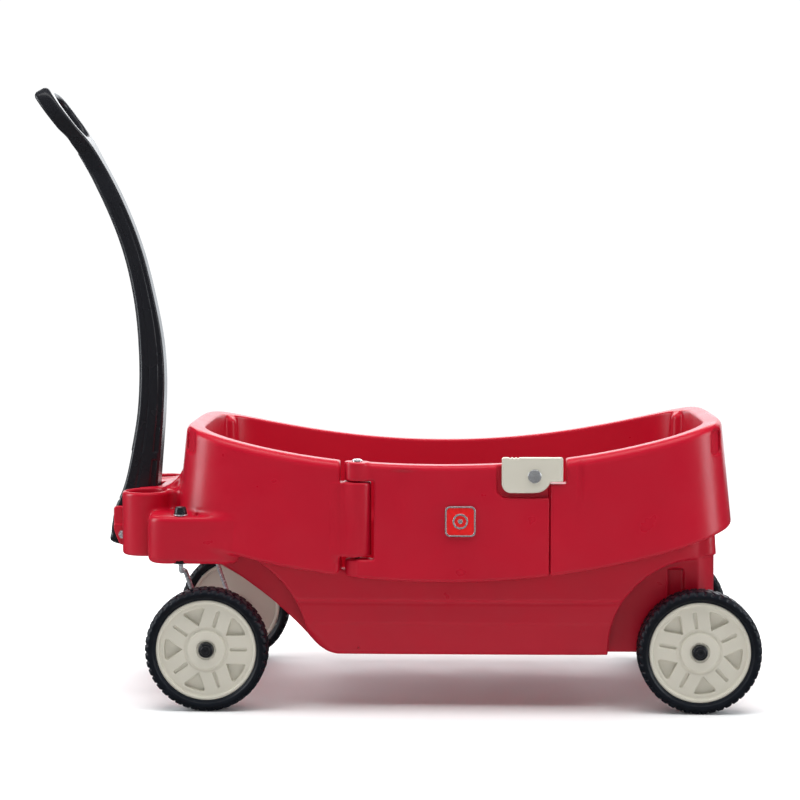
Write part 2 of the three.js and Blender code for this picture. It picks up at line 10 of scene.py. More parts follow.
import bmesh
import bpy
import numpy as np
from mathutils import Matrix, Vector


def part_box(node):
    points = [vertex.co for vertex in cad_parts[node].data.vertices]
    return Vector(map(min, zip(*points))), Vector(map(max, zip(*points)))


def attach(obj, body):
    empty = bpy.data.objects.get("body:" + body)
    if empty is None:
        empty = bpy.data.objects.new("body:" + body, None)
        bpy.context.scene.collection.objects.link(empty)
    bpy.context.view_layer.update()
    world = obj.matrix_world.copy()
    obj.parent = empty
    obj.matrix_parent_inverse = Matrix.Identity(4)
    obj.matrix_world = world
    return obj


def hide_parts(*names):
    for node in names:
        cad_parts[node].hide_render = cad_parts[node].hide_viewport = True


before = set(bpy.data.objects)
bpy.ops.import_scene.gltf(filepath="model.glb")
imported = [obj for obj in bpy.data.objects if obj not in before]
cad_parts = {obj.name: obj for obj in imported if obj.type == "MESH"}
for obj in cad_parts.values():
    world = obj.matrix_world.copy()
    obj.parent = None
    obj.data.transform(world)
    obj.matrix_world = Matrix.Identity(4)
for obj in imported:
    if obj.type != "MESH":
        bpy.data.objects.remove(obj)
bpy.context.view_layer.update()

bl_info = {
    "name": "Pull Wagon Looks",
    "version": (1, 0, 0),
    "blender": (4, 5, 0),
    "location": "View3D > Sidebar > Wagon",
    "description": "Builds the moulded, turned and bent pieces of a pull wagon around its frame",
    "category": "Object",
}

MM = 0.001
SIDES = {"left": -1, "right": 1}


# ------------------------------------------------------------------ places taken from the frame
def corners(node):
    """The lowest and highest corners of a frame node, in millimetres."""
    low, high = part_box(node)
    return low / MM, high / MM


def middle(node):
    """The middle of a frame node, in millimetres."""
    low, high = corners(node)
    return (low + high) / 2


FRONT_AXLE_X = middle("tyre_front_left").x


def back(node):
    """How far the middle of a frame node lies behind the front axle, in millimetres."""
    return middle(node).x - FRONT_AXLE_X


WHEELBASE = back("tyre_rear_left")
WHEEL_Z = middle("tyre_front_left").z
WHEEL_Y = middle("tyre_front_right").y
WALL_LOW, WALL_HIGH = corners("side_wall")
BODY_CENTRE = (WALL_LOW.x + WALL_HIGH.x) / 2 - FRONT_AXLE_X

# bores for the thin pins and rods, and for the hitch bolt
BORE = 4.3
HITCH_BORE = 5.3

# side wall: the outline's half length and half width at the rim and at the skirt
SKIRT_A = (WALL_HIGH.x - WALL_LOW.x) / 2
SKIRT_B = WALL_HIGH.y
RIM_A = SKIRT_A - 18
RIM_B = SKIRT_B - 11
SHEER_AT = 384
RIM_Z = 404
RIM_SHEER = 3.4e-4
RIM_TILT = 4
SKIRT_Z = 216
SKIRT_SHEER = 3.65e-4
WALL = 28

# hull, seats and foot well; the outlines run through (back, height) points
HULL_A = 438
HULL_B = 215
BELLY_Z = corners("tub")[0].z
SEAT_Z = 262
WELL_FLOOR_Z = 122
WELL_FROM = 198
WELL_TO = 642
WELL_HALF = 188
SILL_RISE = 7
HULL_STEPS_Z = (80, 141, 144, 173, 178, 183)
HULL_STEPS_IN = (7, 5, 3.2, 2.8, 3.4, 0)
NOSE_LINE = ((-60, 250), (11, 243), (148, 149), (184, 98))
TAIL_LINE = ((772, BELLY_Z), (822, 106), (846, 164))
FRONT_ARCH_R = 165
REAR_ARCH_R = 147
AXLE_GROOVE_HALF = 15
AXLE_GROOVE_TOP_Z = 113

# door, hinge and latch
HINGE_D = back("door_hinge_pin")
HINGE_Y = middle("door_hinge_pin").y
DOOR_TOP_Z = 403
DOOR_SHEER = 2.6e-4
OPENING_FROM = 219
DOOR_SEAM = 555.5
OPENING_TO = DOOR_SEAM + 1.5
NEAR_SIDE = 150
BARREL_LOW = 256.5
BARREL_HIGH = 375.5
EAR_LOW = 251
EAR_HIGH = 378
LATCH_LOW, LATCH_HIGH = corners("door_latch")
LATCH_NOSE = LATCH_HIGH.x - FRONT_AXLE_X
LATCH_HEEL = LATCH_LOW.x - FRONT_AXLE_X
BOLT_D = back("latch_bolt")
BOLT_Z = middle("latch_bolt").z

# console at the nose, casters and hitch
CUP_D = -112
CUP_Y = 118
CUP_TOP_Z = 349
CONSOLE_LOW_Z = 246
PAD_FROM = -98
PAD_TO = 60
PAD_INNER_Y = 100
PAD_LOW_Z = corners("caster_bush_left")[0].z
PAD_TOP_Z = 318
CASTER_D = back("caster_cap_left")
HITCH_D = back("hitch_bolt")
HITCH_Z = middle("hitch_bolt").z


# ------------------------------------------------------------------ fields
def meet(a, b, r=0.0):
    """What lies in both shapes, with the edge where their faces cross rounded to radius r."""
    if np.isscalar(r) and not r:
        return np.maximum(a, b)
    corner = np.sqrt(np.maximum(a + r, 0) ** 2 + np.maximum(b + r, 0) ** 2)
    return np.minimum(-r, np.maximum(a, b)) + corner


def merge(a, b, r=0.0):
    """Both shapes as one, with a fillet of radius r where they join."""
    return -meet(-a, -b, r)


def carve(a, b, r=0.0):
    """The first shape with the second taken out of it."""
    return meet(a, -b, r)


def between(v, low, high):
    """A slab from low to high."""
    return np.maximum(low - v, v - high)


def brick(u, v, w, sizes, r=0.0):
    """A box from three (low, high) pairs, with rounded edges."""
    return meet(meet(between(u, *sizes[0]), between(v, *sizes[1]), r), between(w, *sizes[2]), r)


def rod(u, v, r):
    """An endless round bar about the origin of u and v."""
    return np.sqrt(u * u + v * v) - r


def over_line(d, z, start, end):
    """How far a point lies over the straight line from start to end."""
    run = end[0] - start[0]
    climb = end[1] - start[1]
    return ((z - start[1]) * run - (d - start[0]) * climb) / math.hypot(run, climb)


def ramp(v, low, high):
    """A smooth step from 0 at low to 1 at high."""
    t = np.clip((v - low) / (high - low), 0, 1)
    return t * t * (3 - 2 * t)


def plan(d, y, a, b):
    """How far a point lies outside the wagon's plan outline of half length a and half width b."""
    u = np.abs(d - BODY_CENTRE) / a
    v = np.abs(y) / b
    u4 = (u * u) ** 2
    v4 = (v * v) ** 2
    reach = np.maximum(u4 * u + v4 * v, 1e-12) ** 0.2
    slope = np.sqrt((u4 / a) ** 2 + (v4 / b) ** 2) / np.maximum(reach**4, 1e-9)
    return (reach - 1) / np.maximum(slope, 1e-4)


# ------------------------------------------------------------------ meshes
BLOCK = 4


def near_blocks(field, low, counts, size):
    """Field values at the middles of the grid's blocks, and the blocks the skin may pass through."""
    centres = [low[k] + (np.arange(counts[k]) + 0.5) * size for k in range(3)]
    grid = np.meshgrid(*centres, indexing="ij")
    coarse = field(*(g.astype(np.float32) for g in grid))
    return coarse, np.argwhere(np.abs(coarse) < 1.25 * size)


def sampled(field, low, high, cell):
    """Field values on a grid. Blocks far from the skin keep the value at their middle."""
    size = BLOCK * cell
    counts = [int(math.ceil((high[k] - low[k]) / size)) for k in range(3)]
    coarse, active = near_blocks(field, low, counts, size)
    values = coarse.repeat(BLOCK, 0).repeat(BLOCK, 1).repeat(BLOCK, 2)
    steps = np.stack(np.meshgrid(*[np.arange(BLOCK)] * 3, indexing="ij"), -1).reshape(-1, 3)
    at = (active[:, None, :] * BLOCK + steps[None]).reshape(-1, 3)
    for part in np.array_split(at, max(1, len(at) // 400000)):
        points = [(low[k] + part[:, k] * cell).astype(np.float32) for k in range(3)]
        values[part[:, 0], part[:, 1], part[:, 2]] = field(*points)
    return values


def net(values):
    """Surface net: one point for each cell that the skin crosses, one quad for each crossed edge."""
    inside = values < 0
    shape = values.shape
    axes = np.eye(3, dtype=np.int64)
    rings = []
    crossings = []
    for k in range(3):
        lower = tuple(slice(0, -1) if i == k else slice(None) for i in range(3))
        upper = tuple(slice(1, None) if i == k else slice(None) for i in range(3))
        at = np.argwhere(inside[lower] != inside[upper])
        first = values[tuple(at.T)].astype(float)
        second = values[tuple((at + axes[k]).T)].astype(float)
        u = axes[(k + 1) % 3]
        v = axes[(k + 2) % 3]
        around = [at, at - u, at - u - v, at - v]
        ring = np.stack([np.ravel_multi_index(tuple(c.T), shape) for c in around], 1)
        ring[first > 0] = ring[first > 0][:, ::-1]
        rings.append(ring)
        crossings.append(at + (first / (first - second))[:, None] * axes[k])
    rings = np.concatenate(rings)
    points = np.repeat(np.concatenate(crossings), 4, axis=0)
    _, index = np.unique(rings.ravel(), return_inverse=True)
    share = np.bincount(index)
    places = np.stack([np.bincount(index, points[:, k]) / share for k in range(3)], 1)
    return places, index.reshape(-1, 4)


def settle(field, points, cell, rounds=3):
    """Moves points along the field's slope onto the skin."""
    step = 0.08
    for _ in range(rounds):
        value = field(*points.T)
        slope = np.empty_like(points)
        for k in range(3):
            shift = np.zeros(3)
            shift[k] = step
            slope[:, k] = (field(*(points + shift).T) - field(*(points - shift).T)) / (2 * step)
        steep = np.maximum((slope**2).sum(1), 0.05)
        move = -slope * (value / steep)[:, None]
        length = np.sqrt((move**2).sum(1))
        points = points + move * np.minimum(1, 0.6 * cell / np.maximum(length, 1e-9))[:, None]
    return points


def as_object(name, points, faces):
    """A smooth mesh object from points in metres and equal-sided faces."""
    mesh = bpy.data.meshes.new(name)
    count = len(faces)
    sides = faces.shape[1]
    mesh.vertices.add(len(points))
    mesh.vertices.foreach_set("co", np.asarray(points, np.float32).ravel())
    mesh.loops.add(count * sides)
    mesh.loops.foreach_set("vertex_index", faces.ravel().astype(np.int32))
    mesh.polygons.add(count)
    mesh.polygons.foreach_set("loop_start", np.arange(count, dtype=np.int32) * sides)
    mesh.polygons.foreach_set("use_smooth", np.ones(count, bool))
    mesh.update(calc_edges=True)
    mesh.validate()
    piece = bpy.data.objects.new(name, mesh)
    bpy.context.scene.collection.objects.link(piece)
    return piece


def to_frame(points):
    """From (d, y, z) in millimetres to the frame's metres."""
    return (points + np.array([FRONT_AXLE_X, 0, 0])) * MM


def skinned(name, field, low, high, cell, place=to_frame):
    """The skin of a field between two corners as a mesh object."""
    low = np.array(low, float) - 2 * cell
    high = np.array(high, float) + 2 * cell
    places, faces = net(sampled(field, low, high, cell))
    points = settle(field, low + places * cell, cell)
    return as_object(name, place(points), faces)


def softened(profile, r=0.5, steps=4):
    """A profile of (radius, height) pairs with its corners rounded."""
    out = [profile[0]]
    for before, corner, after in zip(profile, profile[1:], profile[2:]):
        before, corner, after = (np.array(p, float) for p in (before, corner, after))
        inward = before - corner
        outward = after - corner
        reach = min(r, 0.45 * np.hypot(*inward), 0.45 * np.hypot(*outward))
        start = corner + inward / np.hypot(*inward) * reach
        end = corner + outward / np.hypot(*outward) * reach
        for i in range(steps + 1):
            t = i / steps
            out.append(tuple((1 - t) ** 2 * start + 2 * t * (1 - t) * corner + t * t * end))
    out.append(profile[-1])
    return out


def lathed(name, profile, place, sides=64, closed=False, relief=None):
    """Turns a profile of (radius, height) pairs. place takes the points to the frame."""
    profile = np.array(profile, float)
    angles = np.arange(sides) * 2 * math.pi / sides
    radius = np.repeat(profile[:, :1], sides, 1)
    height = np.repeat(profile[:, 1:], sides, 1)
    if relief is not None:
        radius = radius - relief(radius, height, angles[None, :])
    points = np.stack([radius * np.cos(angles), radius * np.sin(angles), height], -1)
    rows = len(profile)
    i, j = np.meshgrid(np.arange(rows if closed else rows - 1), np.arange(sides), indexing="ij")
    n = (j + 1) % sides
    m = (i + 1) % rows
    faces = np.stack([i * sides + j, i * sides + n, m * sides + n, m * sides + j], -1)
    piece = as_object(name, place(points.reshape(-1, 3)), faces.reshape(-1, 4))
    close_up(piece)
    return piece


def close_up(piece):
    """Welds the points that fall together and turns every face outward."""
    mesh = bmesh.new()
    mesh.from_mesh(piece.data)
    bmesh.ops.remove_doubles(mesh, verts=mesh.verts, dist=1e-6)
    bmesh.ops.recalc_face_normals(mesh, faces=mesh.faces)
    mesh.to_mesh(piece.data)
    mesh.free()


def standing(d, y):
    """Placer for a piece turned about an upright axis."""
    return lambda p: to_frame(np.stack([p[:, 0] + d, p[:, 1] + y, p[:, 2]], 1))


def lying(d, z, y=0.0, way=1):
    """Placer for a piece turned about an axis across the wagon."""
    return lambda p: to_frame(np.stack([p[:, 0] + d, y + way * p[:, 2], p[:, 1] + z], 1))


def fitted(piece, body, nodes, slot, *finishes):
    """Gives a piece its finishes and lets it stand for frame nodes on one body."""
    for finish in finishes:
        piece.data.materials.append(finish)
    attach(piece, body)
    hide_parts(*nodes)
    return piece


# ------------------------------------------------------------------ finishes
def feed(tree, socket, value):
    """Links another node's output to a socket, or sets the socket's value."""
    if isinstance(value, bpy.types.NodeSocket):
        tree.links.new(value, socket)
    else:
        socket.default_value = value


class Nodes:
    """Small helper that adds shader nodes to one material and links them."""

    def __init__(self, name):
        self.material = bpy.data.materials.new(name)
        self.material.use_nodes = True
        self.tree = self.material.node_tree
        self.shader = self.tree.nodes["Principled BSDF"]
        self.where = self.tree.nodes.new("ShaderNodeTexCoord").outputs["Object"]

    def add(self, kind, **inputs):
        node = self.tree.nodes.new(kind)
        for key, value in inputs.items():
            feed(self.tree, node.inputs[key.replace("_", " ")], value)
        return node

    def noise(self, scale, detail=3.0, rough=0.5, where=None):
        inputs = {"Vector": where or self.where, "Scale": scale, "Detail": detail, "Roughness": rough}
        node = self.add("ShaderNodeTexNoise", **inputs)
        return node.outputs["Fac"]

    def fit(self, value, low, high, start=0.3, end=0.7):
        ends = {"From_Min": start, "From_Max": end, "To_Min": low, "To_Max": high}
        node = self.add("ShaderNodeMapRange", Value=value, **ends)
        return node.outputs["Result"]

    def blend(self, factor, first, second):
        node = self.tree.nodes.new("ShaderNodeMix")
        node.data_type = "RGBA"
        for key, value in (("Factor", factor), (6, first), (7, second)):
            feed(self.tree, node.inputs[key], value)
        return node.outputs[2]

    def bump(self, height, distance, strength=1.0, normal=None):
        node = self.add("ShaderNodeBump", Height=height, Distance=distance, Strength=strength)
        if normal is not None:
            self.tree.links.new(normal, node.inputs["Normal"])
        return node.outputs["Normal"]

    def stretched(self, x, y, z):
        node = self.add("ShaderNodeMapping", Vector=self.where, Scale=(x, y, z))
        return node.outputs["Vector"]

    def set(self, **inputs):
        for key, value in inputs.items():
            feed(self.tree, self.shader.inputs[key.replace("_", " ")], value)
        return self.material


def tone(colour, factor):
    """A colour made lighter or darker."""
    return (*(min(1.0, c * factor) for c in colour[:3]), 1.0)


def moulded(name, colour, gloss, peel, mottle=0.05):
    """Moulded plastic: slow shade changes, uneven gloss and a faint orange peel."""
    n = Nodes(name)
    cloud = n.fit(n.noise(7.0, 2.0), 0, 1, 0.15, 0.85)
    base = n.blend(cloud, tone(colour, 1 - mottle), tone(colour, 1 + mottle))
    uneven = n.fit(n.noise(24.0, 3.0), gloss * 0.85, gloss * 1.2, 0.15, 0.85)
    fine = n.bump(n.noise(700.0, 1.0), 0.0002, peel)
    skin = n.bump(n.noise(50.0, 1.0), 0.0008, peel, fine)
    return n.set(Base_Color=base, Roughness=uneven, Normal=skin)


def red_plastic():
    colours = bpy.context.scene.wagon_finishes
    return moulded("red_moulded_plastic", colours.red, colours.red_gloss, 0.08)


def ivory_plastic():
    colours = bpy.context.scene.wagon_finishes
    return moulded("ivory_plastic", colours.ivory, 0.42, 0.1, 0.03)


def charcoal_plastic():
    colours = bpy.context.scene.wagon_finishes
    return moulded("charcoal_plastic", colours.charcoal, 0.27, 0.05, 0.12)


def tyre_rubber():
    """Moulded rubber: blue-black, with fine turned lines and scattered patches of dust."""
    n = Nodes("tyre_rubber")
    colour = bpy.context.scene.wagon_finishes.rubber
    dust = n.fit(n.noise(60.0, 4.0, 0.6), 0, 1, 0.4, 0.85)
    base = n.blend(dust, tone(colour, 0.85), tone(colour, 1.4))
    gloss = n.fit(n.noise(80.0, 3.0), 0.36, 0.48, 0.2, 0.8)
    grain = n.bump(n.noise(900.0, 2.0), 0.0003, 0.12)
    lines = n.bump(n.noise(500.0, 1.0, where=n.stretched(0.25, 2.0, 0.25)), 0.0003, 0.08, grain)
    n.shader.inputs["Specular IOR Level"].default_value = 0.4
    return n.set(Base_Color=base, Roughness=gloss, Normal=lines)


def plated_steel():
    """Bright zinc plating with faint drawn lines and cloudy gloss."""
    n = Nodes("plated_steel")
    colour = bpy.context.scene.wagon_finishes.steel
    cloud = n.fit(n.noise(90.0, 4.0), 0, 1)
    base = n.blend(cloud, tone(colour, 0.86), tone(colour, 1.05))
    gloss = n.fit(n.noise(240.0, 4.0, 0.6), 0.16, 0.32)
    drawn = n.bump(n.noise(300.0, 2.0, where=n.stretched(3.0, 0.4, 3.0)), 0.0002, 0.12)
    return n.set(Base_Color=base, Metallic=0.6, Roughness=gloss, Normal=drawn)


def silver_trim():
    """Polished silver-coloured metal with tiny handling marks."""
    n = Nodes("silver_trim")
    colour = bpy.context.scene.wagon_finishes.silver
    base = n.blend(n.fit(n.noise(150.0, 3.0), 0, 1), tone(colour, 0.92), tone(colour, 1.05))
    gloss = n.fit(n.noise(420.0, 5.0, 0.7), 0.08, 0.24)
    marks = n.bump(n.noise(1100.0, 2.0), 0.0002, 0.12)
    return n.set(Base_Color=base, Metallic=0.75, Roughness=gloss, Normal=marks)


def badge_enamel():
    """Bright red enamel, a little pooled."""
    n = Nodes("badge_enamel")
    colour = bpy.context.scene.wagon_finishes.enamel
    base = n.blend(n.fit(n.noise(180.0, 2.0), 0, 1), tone(colour, 0.9), tone(colour, 1.1))
    gloss = n.fit(n.noise(260.0, 3.0), 0.14, 0.24)
    pooled = n.bump(n.noise(130.0, 1.0), 0.0006, 0.2)
    return n.set(Base_Color=base, Roughness=gloss, Normal=pooled, Coat_Weight=0.6)


def finish(maker):
    """Each finish is made once and shared by its pieces."""
    made = finish.made
    if maker not in made:
        made[maker] = maker()
    return made[maker]


finish.made = {}


# ------------------------------------------------------------------ moulded body
def wall_heights(d, y):
    """Heights of the rim and of the skirt's edge over a place in plan."""
    off = (d - SHEER_AT) ** 2
    return RIM_Z + RIM_SHEER * off + RIM_TILT * y / RIM_B, SKIRT_Z + SKIRT_SHEER * off


def wall_face(d, y, z, rim, skirt):
    """How far a point lies outside the side wall's leaning outer face."""
    down = np.clip((rim - z) / (rim - skirt), -0.3, 1.3)
    return plan(d, y, RIM_A + (SKIRT_A - RIM_A) * down, RIM_B + (SKIRT_B - RIM_B) * down)


def pressed_line(d, y, z):
    """How deep the outer face is pressed in by the fading groove behind the latch."""
    groove = 2.6 * np.exp(-(((d - 606) / 4.2) ** 2)) * ramp(z, 310, 395)
    return np.where(y < 0, groove * (1 - ramp(z, 410, 420)), 0)


def corner_slots(d, z, face):
    """A U-shaped slot high on each outer corner."""
    near_front = between(d, -38, -22)
    near_rear = between(d, 821.5, 837.5)
    across = np.minimum(near_front, near_rear)
    return meet(meet(across, between(z, 416, 457), 7), -(face + 4), 2)


def wall_solid(d, y, z, shape):
    """Everything inside the wall's outer face, from skirt to rim, less the doorway."""
    rim, skirt = wall_heights(d, y)
    face = wall_face(d, y, z, rim, skirt)
    slots = corner_slots(d, z, face)
    face = face + pressed_line(d, y, z)
    solid = meet(meet(face, z - rim, shape["crown"]), skirt - z, shape["skirt"])
    solid = carve(solid, slots, 3)
    doorway = meet(between(d, OPENING_FROM, OPENING_TO), y + NEAR_SIDE)
    turn_in = shape["edge"] + 9 * (1 - ramp(z, 246, 258)) * (d < HINGE_D)
    return carve(solid, doorway, turn_in), face, rim, skirt


def nose_cut(d, z):
    """The room under the sloping nose."""
    shallow, slope, steep = (over_line(d, z, *ends) for ends in zip(NOSE_LINE, NOSE_LINE[1:]))
    return meet(meet(shallow, slope, 30), steep, 30)


def wheel_arches(d, y, z):
    """The room round the wheels, front and rear, on both sides."""
    side = np.abs(y)
    front = rod(np.maximum(d, 0), np.maximum(z - WHEEL_Z, 0), FRONT_ARCH_R)
    front = meet(front, 185 - side, 3)
    bow = meet(rod(d - WHEELBASE, z - WHEEL_Z, REAR_ARCH_R), d - 803, 5)
    behind = meet(802 - d, z - 212, 5)
    rear = meet(np.minimum(bow, behind), 175 - side, 5)
    pocket = meet(meet(between(d, 752, 779), z - 229, 4), 166 - side, 4)
    return np.minimum(np.minimum(front, rear), pocket)


def hull_solid(d, y, z, skirt):
    """The hull under the wall: stepped sides, flat belly, sloping nose and rounded tail."""
    inset = np.interp(z, HULL_STEPS_Z, HULL_STEPS_IN).astype(z.dtype)
    solid = meet(plan(d, y, HULL_A - inset, HULL_B - inset), BELLY_Z - z, 7)
    solid = meet(solid, z - np.maximum(SEAT_Z, skirt + 12))
    solid = carve(solid, nose_cut(d, z), 26)
    for start, end in zip(TAIL_LINE, TAIL_LINE[1:]):
        solid = meet(solid, -over_line(d, z, start, end), 14)
    solid = carve(solid, wheel_arches(d, y, z), 2.5)
    doorway = meet(meet(between(d, OPENING_FROM, OPENING_TO), y + NEAR_SIDE), skirt + SILL_RISE - z)
    solid = carve(solid, doorway, 4)
    groove = meet(np.abs(d - WHEELBASE) - AXLE_GROOVE_HALF, z - AXLE_GROOVE_TOP_Z, 3)
    return carve(solid, groove, 2)


def cabin(d, y, z, rim):
    """The room inside: two seats with a foot well between them."""
    up = np.clip((z - SEAT_Z) / (rim - SEAT_Z), -0.2, 1.1)
    walls = plan(d, y, 412 + 6 * up, 192 + 12 * up)
    dish = 4 * np.exp(-((y / 110) ** 4))
    seats = meet(walls, SEAT_Z - dish - z, 20)
    ribs = 1.4 * np.cos(y * (2 * math.pi / 47)) * ramp(WELL_HALF - 18 - np.abs(y), 0, 12)
    ribs = ribs * ramp(d, WELL_FROM + 22, WELL_FROM + 44) * (1 - ramp(d, WELL_TO - 44, WELL_TO - 22))
    slope = (z - WELL_FLOOR_Z) * 0.03
    sides = meet(between(d, WELL_FROM - slope, WELL_TO + slope), np.abs(y) - WELL_HALF, 30)
    well = meet(sides, WELL_FLOOR_Z + ribs - z, 16)
    return merge(seats, well, 10)


def hinge_barrel(d, y, z, face):
    """The upright barrel that the door hangs on, and the neck that carries it."""
    barrel = meet(rod(d - HINGE_D, y - HINGE_Y, 22.5), between(z, BARREL_LOW, BARREL_HIGH), 2.5)
    neck = meet(np.maximum(face, -(face + WALL)), between(d, 205, HINGE_D))
    neck = meet(meet(neck, between(z, BARREL_LOW, BARREL_HIGH), 2.5), y + NEAR_SIDE)
    return carve(merge(barrel, neck, 5), rod(d - HINGE_D, y - HINGE_Y, BORE))


def console(d, y, z):
    """The nose console: a deck with two cup holders and a pad over each caster."""
    side = np.abs(y)
    deck = meet(between(d, -140, -10), side - 128, 6)
    deck = meet(deck, between(z, CONSOLE_LOW_Z, 600), 6)
    deck = meet(deck, over_line(d, z, (-140, 345), (-84, CUP_TOP_Z)), 6)
    shoulder = meet(meet(between(d, -86, -10), side - 112, 14), CONSOLE_LOW_Z + 20 - z)
    shoulder = meet(shoulder, over_line(d, z, (-84, 349), (-50, 379)), 6)
    shoulder = meet(shoulder, z - 386, 6)
    shape = merge(deck, shoulder, 12)
    pad = meet(between(d, PAD_FROM, PAD_TO), side - 223, 34)
    pad = meet(meet(pad, PAD_INNER_Y - side), between(z, PAD_LOW_Z, PAD_TOP_Z), 9)
    shape = merge(shape, pad, 7)
    barrel = meet(rod(d - CUP_D, side - CUP_Y, 40), between(z, CONSOLE_LOW_Z - 3, CUP_TOP_Z), 5)
    shape = merge(shape, barrel, 7)
    slot = meet(d + 103.5, side - 35.4, 2)
    cup = meet(rod(d - CUP_D, side - CUP_Y, 32), SEAT_Z - z, 6)
    shape = carve(carve(shape, slot, 3), cup, 4)
    dimple = np.sqrt((d + 17) ** 2 + (side - 201) ** 2 + (z - PAD_TOP_Z) ** 2) - 6.5
    return carve(shape, dimple, 1.5)


def corner_posts(d, y, z, rim, face):
    """The half-round posts in the four inner corners, a little thicker toward the seats."""
    posts = rod(np.abs(d - BODY_CENTRE) - 406, np.abs(y) - 146, 14 + 0.06 * (rim - z))
    posts = meet(meet(posts, z - rim + 4, 8), SEAT_Z - 12 - z)
    return meet(posts, face + 3)


def latch_notch(d, y, z):
    """The notch in the wall behind the seam, where the latch turns."""
    return brick(d, y, z, ((DOOR_SEAM - 3, LATCH_NOSE + 5.5), (-400, -150), (374.5, 600)), 2)


def caster_bores(d, y, z):
    """The upright bores for the caster rods, and the wider room for the flanges of their bushes."""
    from_axis = rod(d - CASTER_D, np.abs(y) - WHEEL_Y, 0)
    bore = meet(from_axis - 9.3, z - PAD_TOP_Z - 5)
    return bore, meet(from_axis - 14.3, z - PAD_LOW_Z - 9)


def body_field(shape):
    def field(d, y, z):
        wall, face, rim, skirt = wall_solid(d, y, z, shape)
        solid = merge(wall, hull_solid(d, y, z, skirt), 3)
        nose = meet(console(d, y, z), -(face + 20))
        solid = merge(solid, nose, shape["fillet"])
        solid = carve(solid, cabin(d, y, z, rim), shape["rim"])
        solid = merge(solid, corner_posts(d, y, z, rim, face), 5)
        solid = merge(solid, hinge_barrel(d, y, z, face), 2)
        solid = carve(solid, latch_notch(d, y, z), 3.5)
        bore, flange_room = caster_bores(d, y, z)
        return carve(carve(solid, bore, 1), flange_room, 0.6)

    return field


def body_shape():
    """The body's radii from the panel, in millimetres."""
    sizes = bpy.context.scene.wagon_body
    return {
        "rim": sizes.rim_radius / MM,
        "crown": sizes.crown_radius / MM,
        "skirt": sizes.skirt_radius / MM,
        "edge": sizes.edge_radius / MM,
        "fillet": sizes.console_fillet / MM,
    }


def make_body():
    sizes = bpy.context.scene.wagon_body
    low = (-155, -SKIRT_B, BELLY_Z)
    high = (BODY_CENTRE + SKIRT_A, SKIRT_B, 480)
    piece = skinned("moulded_body", body_field(body_shape()), low, high, sizes.mesh_cell / MM)
    fitted(piece, "body", ["tub", "side_wall", "front_console"], "red_plastic", finish(red_plastic))


# ------------------------------------------------------------------ side door
def door_field(shape):
    def field(d, y, z):
        rim, skirt = wall_heights(d, y)
        top = DOOR_TOP_Z + DOOR_SHEER * (d - SHEER_AT) ** 2
        face = wall_face(d, y, z, rim, skirt)
        hollow = 2.2 * np.exp(-(((d - 321) / (7 + 8 * ramp(z, 290, 396))) ** 2))
        pressed = face + hollow * ramp(z, 285, 380) * (1 - ramp(z, 392, 399))
        panel = meet(pressed, z - top, 0.6 * shape["crown"])
        panel = meet(panel, between(d, HINGE_D, DOOR_SEAM), shape["edge"])
        panel = meet(meet(panel, y + NEAR_SIDE), -(face + WALL), shape["rim"])
        panel = meet(panel, skirt - z, shape["skirt"])
        room = meet(d - 273.5, between(z, EAR_LOW, EAR_HIGH), 3)
        panel = carve(panel, room, 3.5)
        ears = rod(d - HINGE_D, y - HINGE_Y, 20.5)
        heights = np.maximum(np.minimum(z - EAR_LOW, EAR_HIGH - z), np.maximum(skirt - z, z - top))
        panel = merge(panel, meet(ears, heights, 3), 4)
        recess = meet(between(d, LATCH_HEEL - 8, 700), 351.5 - z, 16)
        recess = meet(recess, y + 226.5, 2)
        panel = carve(panel, recess, 2.5)
        panel = carve(panel, rod(d - BOLT_D, z - BOLT_Z, BORE))
        seat = meet(rod(d - BOLT_D, z - BOLT_Z, 12), -y - 204)
        panel = carve(panel, meet(seat, y + 196), 1)
        return carve(panel, rod(d - HINGE_D, y - HINGE_Y, BORE))

    return field


def make_door():
    sizes = bpy.context.scene.wagon_body
    low = (HINGE_D - 22, -SKIRT_B, 212)
    high = (DOOR_SEAM, -190, 420)
    piece = skinned("door_panel", door_field(body_shape()), low, high, 0.8 * sizes.mesh_cell / MM)
    fitted(piece, "door", ["side_door"], "red_plastic", finish(red_plastic))


def make_hinge_pin():
    low, high = corners("door_hinge_pin")
    profile = [
        (0, low.z), (4, low.z), (4, high.z - 4.6), (9, high.z - 4.6), (8.4, high.z - 2.4),
        (5, high.z - 0.4), (0, high.z),
    ]
    piece = lathed("hinge_pin_rod", softened(profile, 1.2, 6), standing(HINGE_D, HINGE_Y), 48)
    fitted(piece, "body", ["door_hinge_pin"], "silver", finish(silver_trim))


# ------------------------------------------------------------------ latch and badge
def latch_field(d, y, z):
    """The ivory turning plate: rounded heel, high nose and small finger grips on top."""
    outer = LATCH_LOW.y
    inner = LATCH_HIGH.y
    top = LATCH_HIGH.z
    plate = meet(meet(LATCH_HEEL - d, 360 - z, 15), meet(d - LATCH_NOSE, z - top, 3), 4)
    belly = np.minimum(rod(d - BOLT_D, z - BOLT_Z, 27), np.minimum(d - BOLT_D, 378 - z))
    plate = meet(plate, belly, 1.5)
    grip = np.abs(((d - 489.5) / 6.2) % 1 - 0.5) * 6.2
    scallops = np.sqrt(grip**2 + (z - top - 1.2) ** 2) - 2.6
    plate = carve(plate, np.maximum(scallops, between(d, 489.5, 508)), 0.8)
    skin = meet(plate, between(y, outer, inner), 1.6)
    return carve(skin, rod(d - BOLT_D, z - BOLT_Z, BORE))


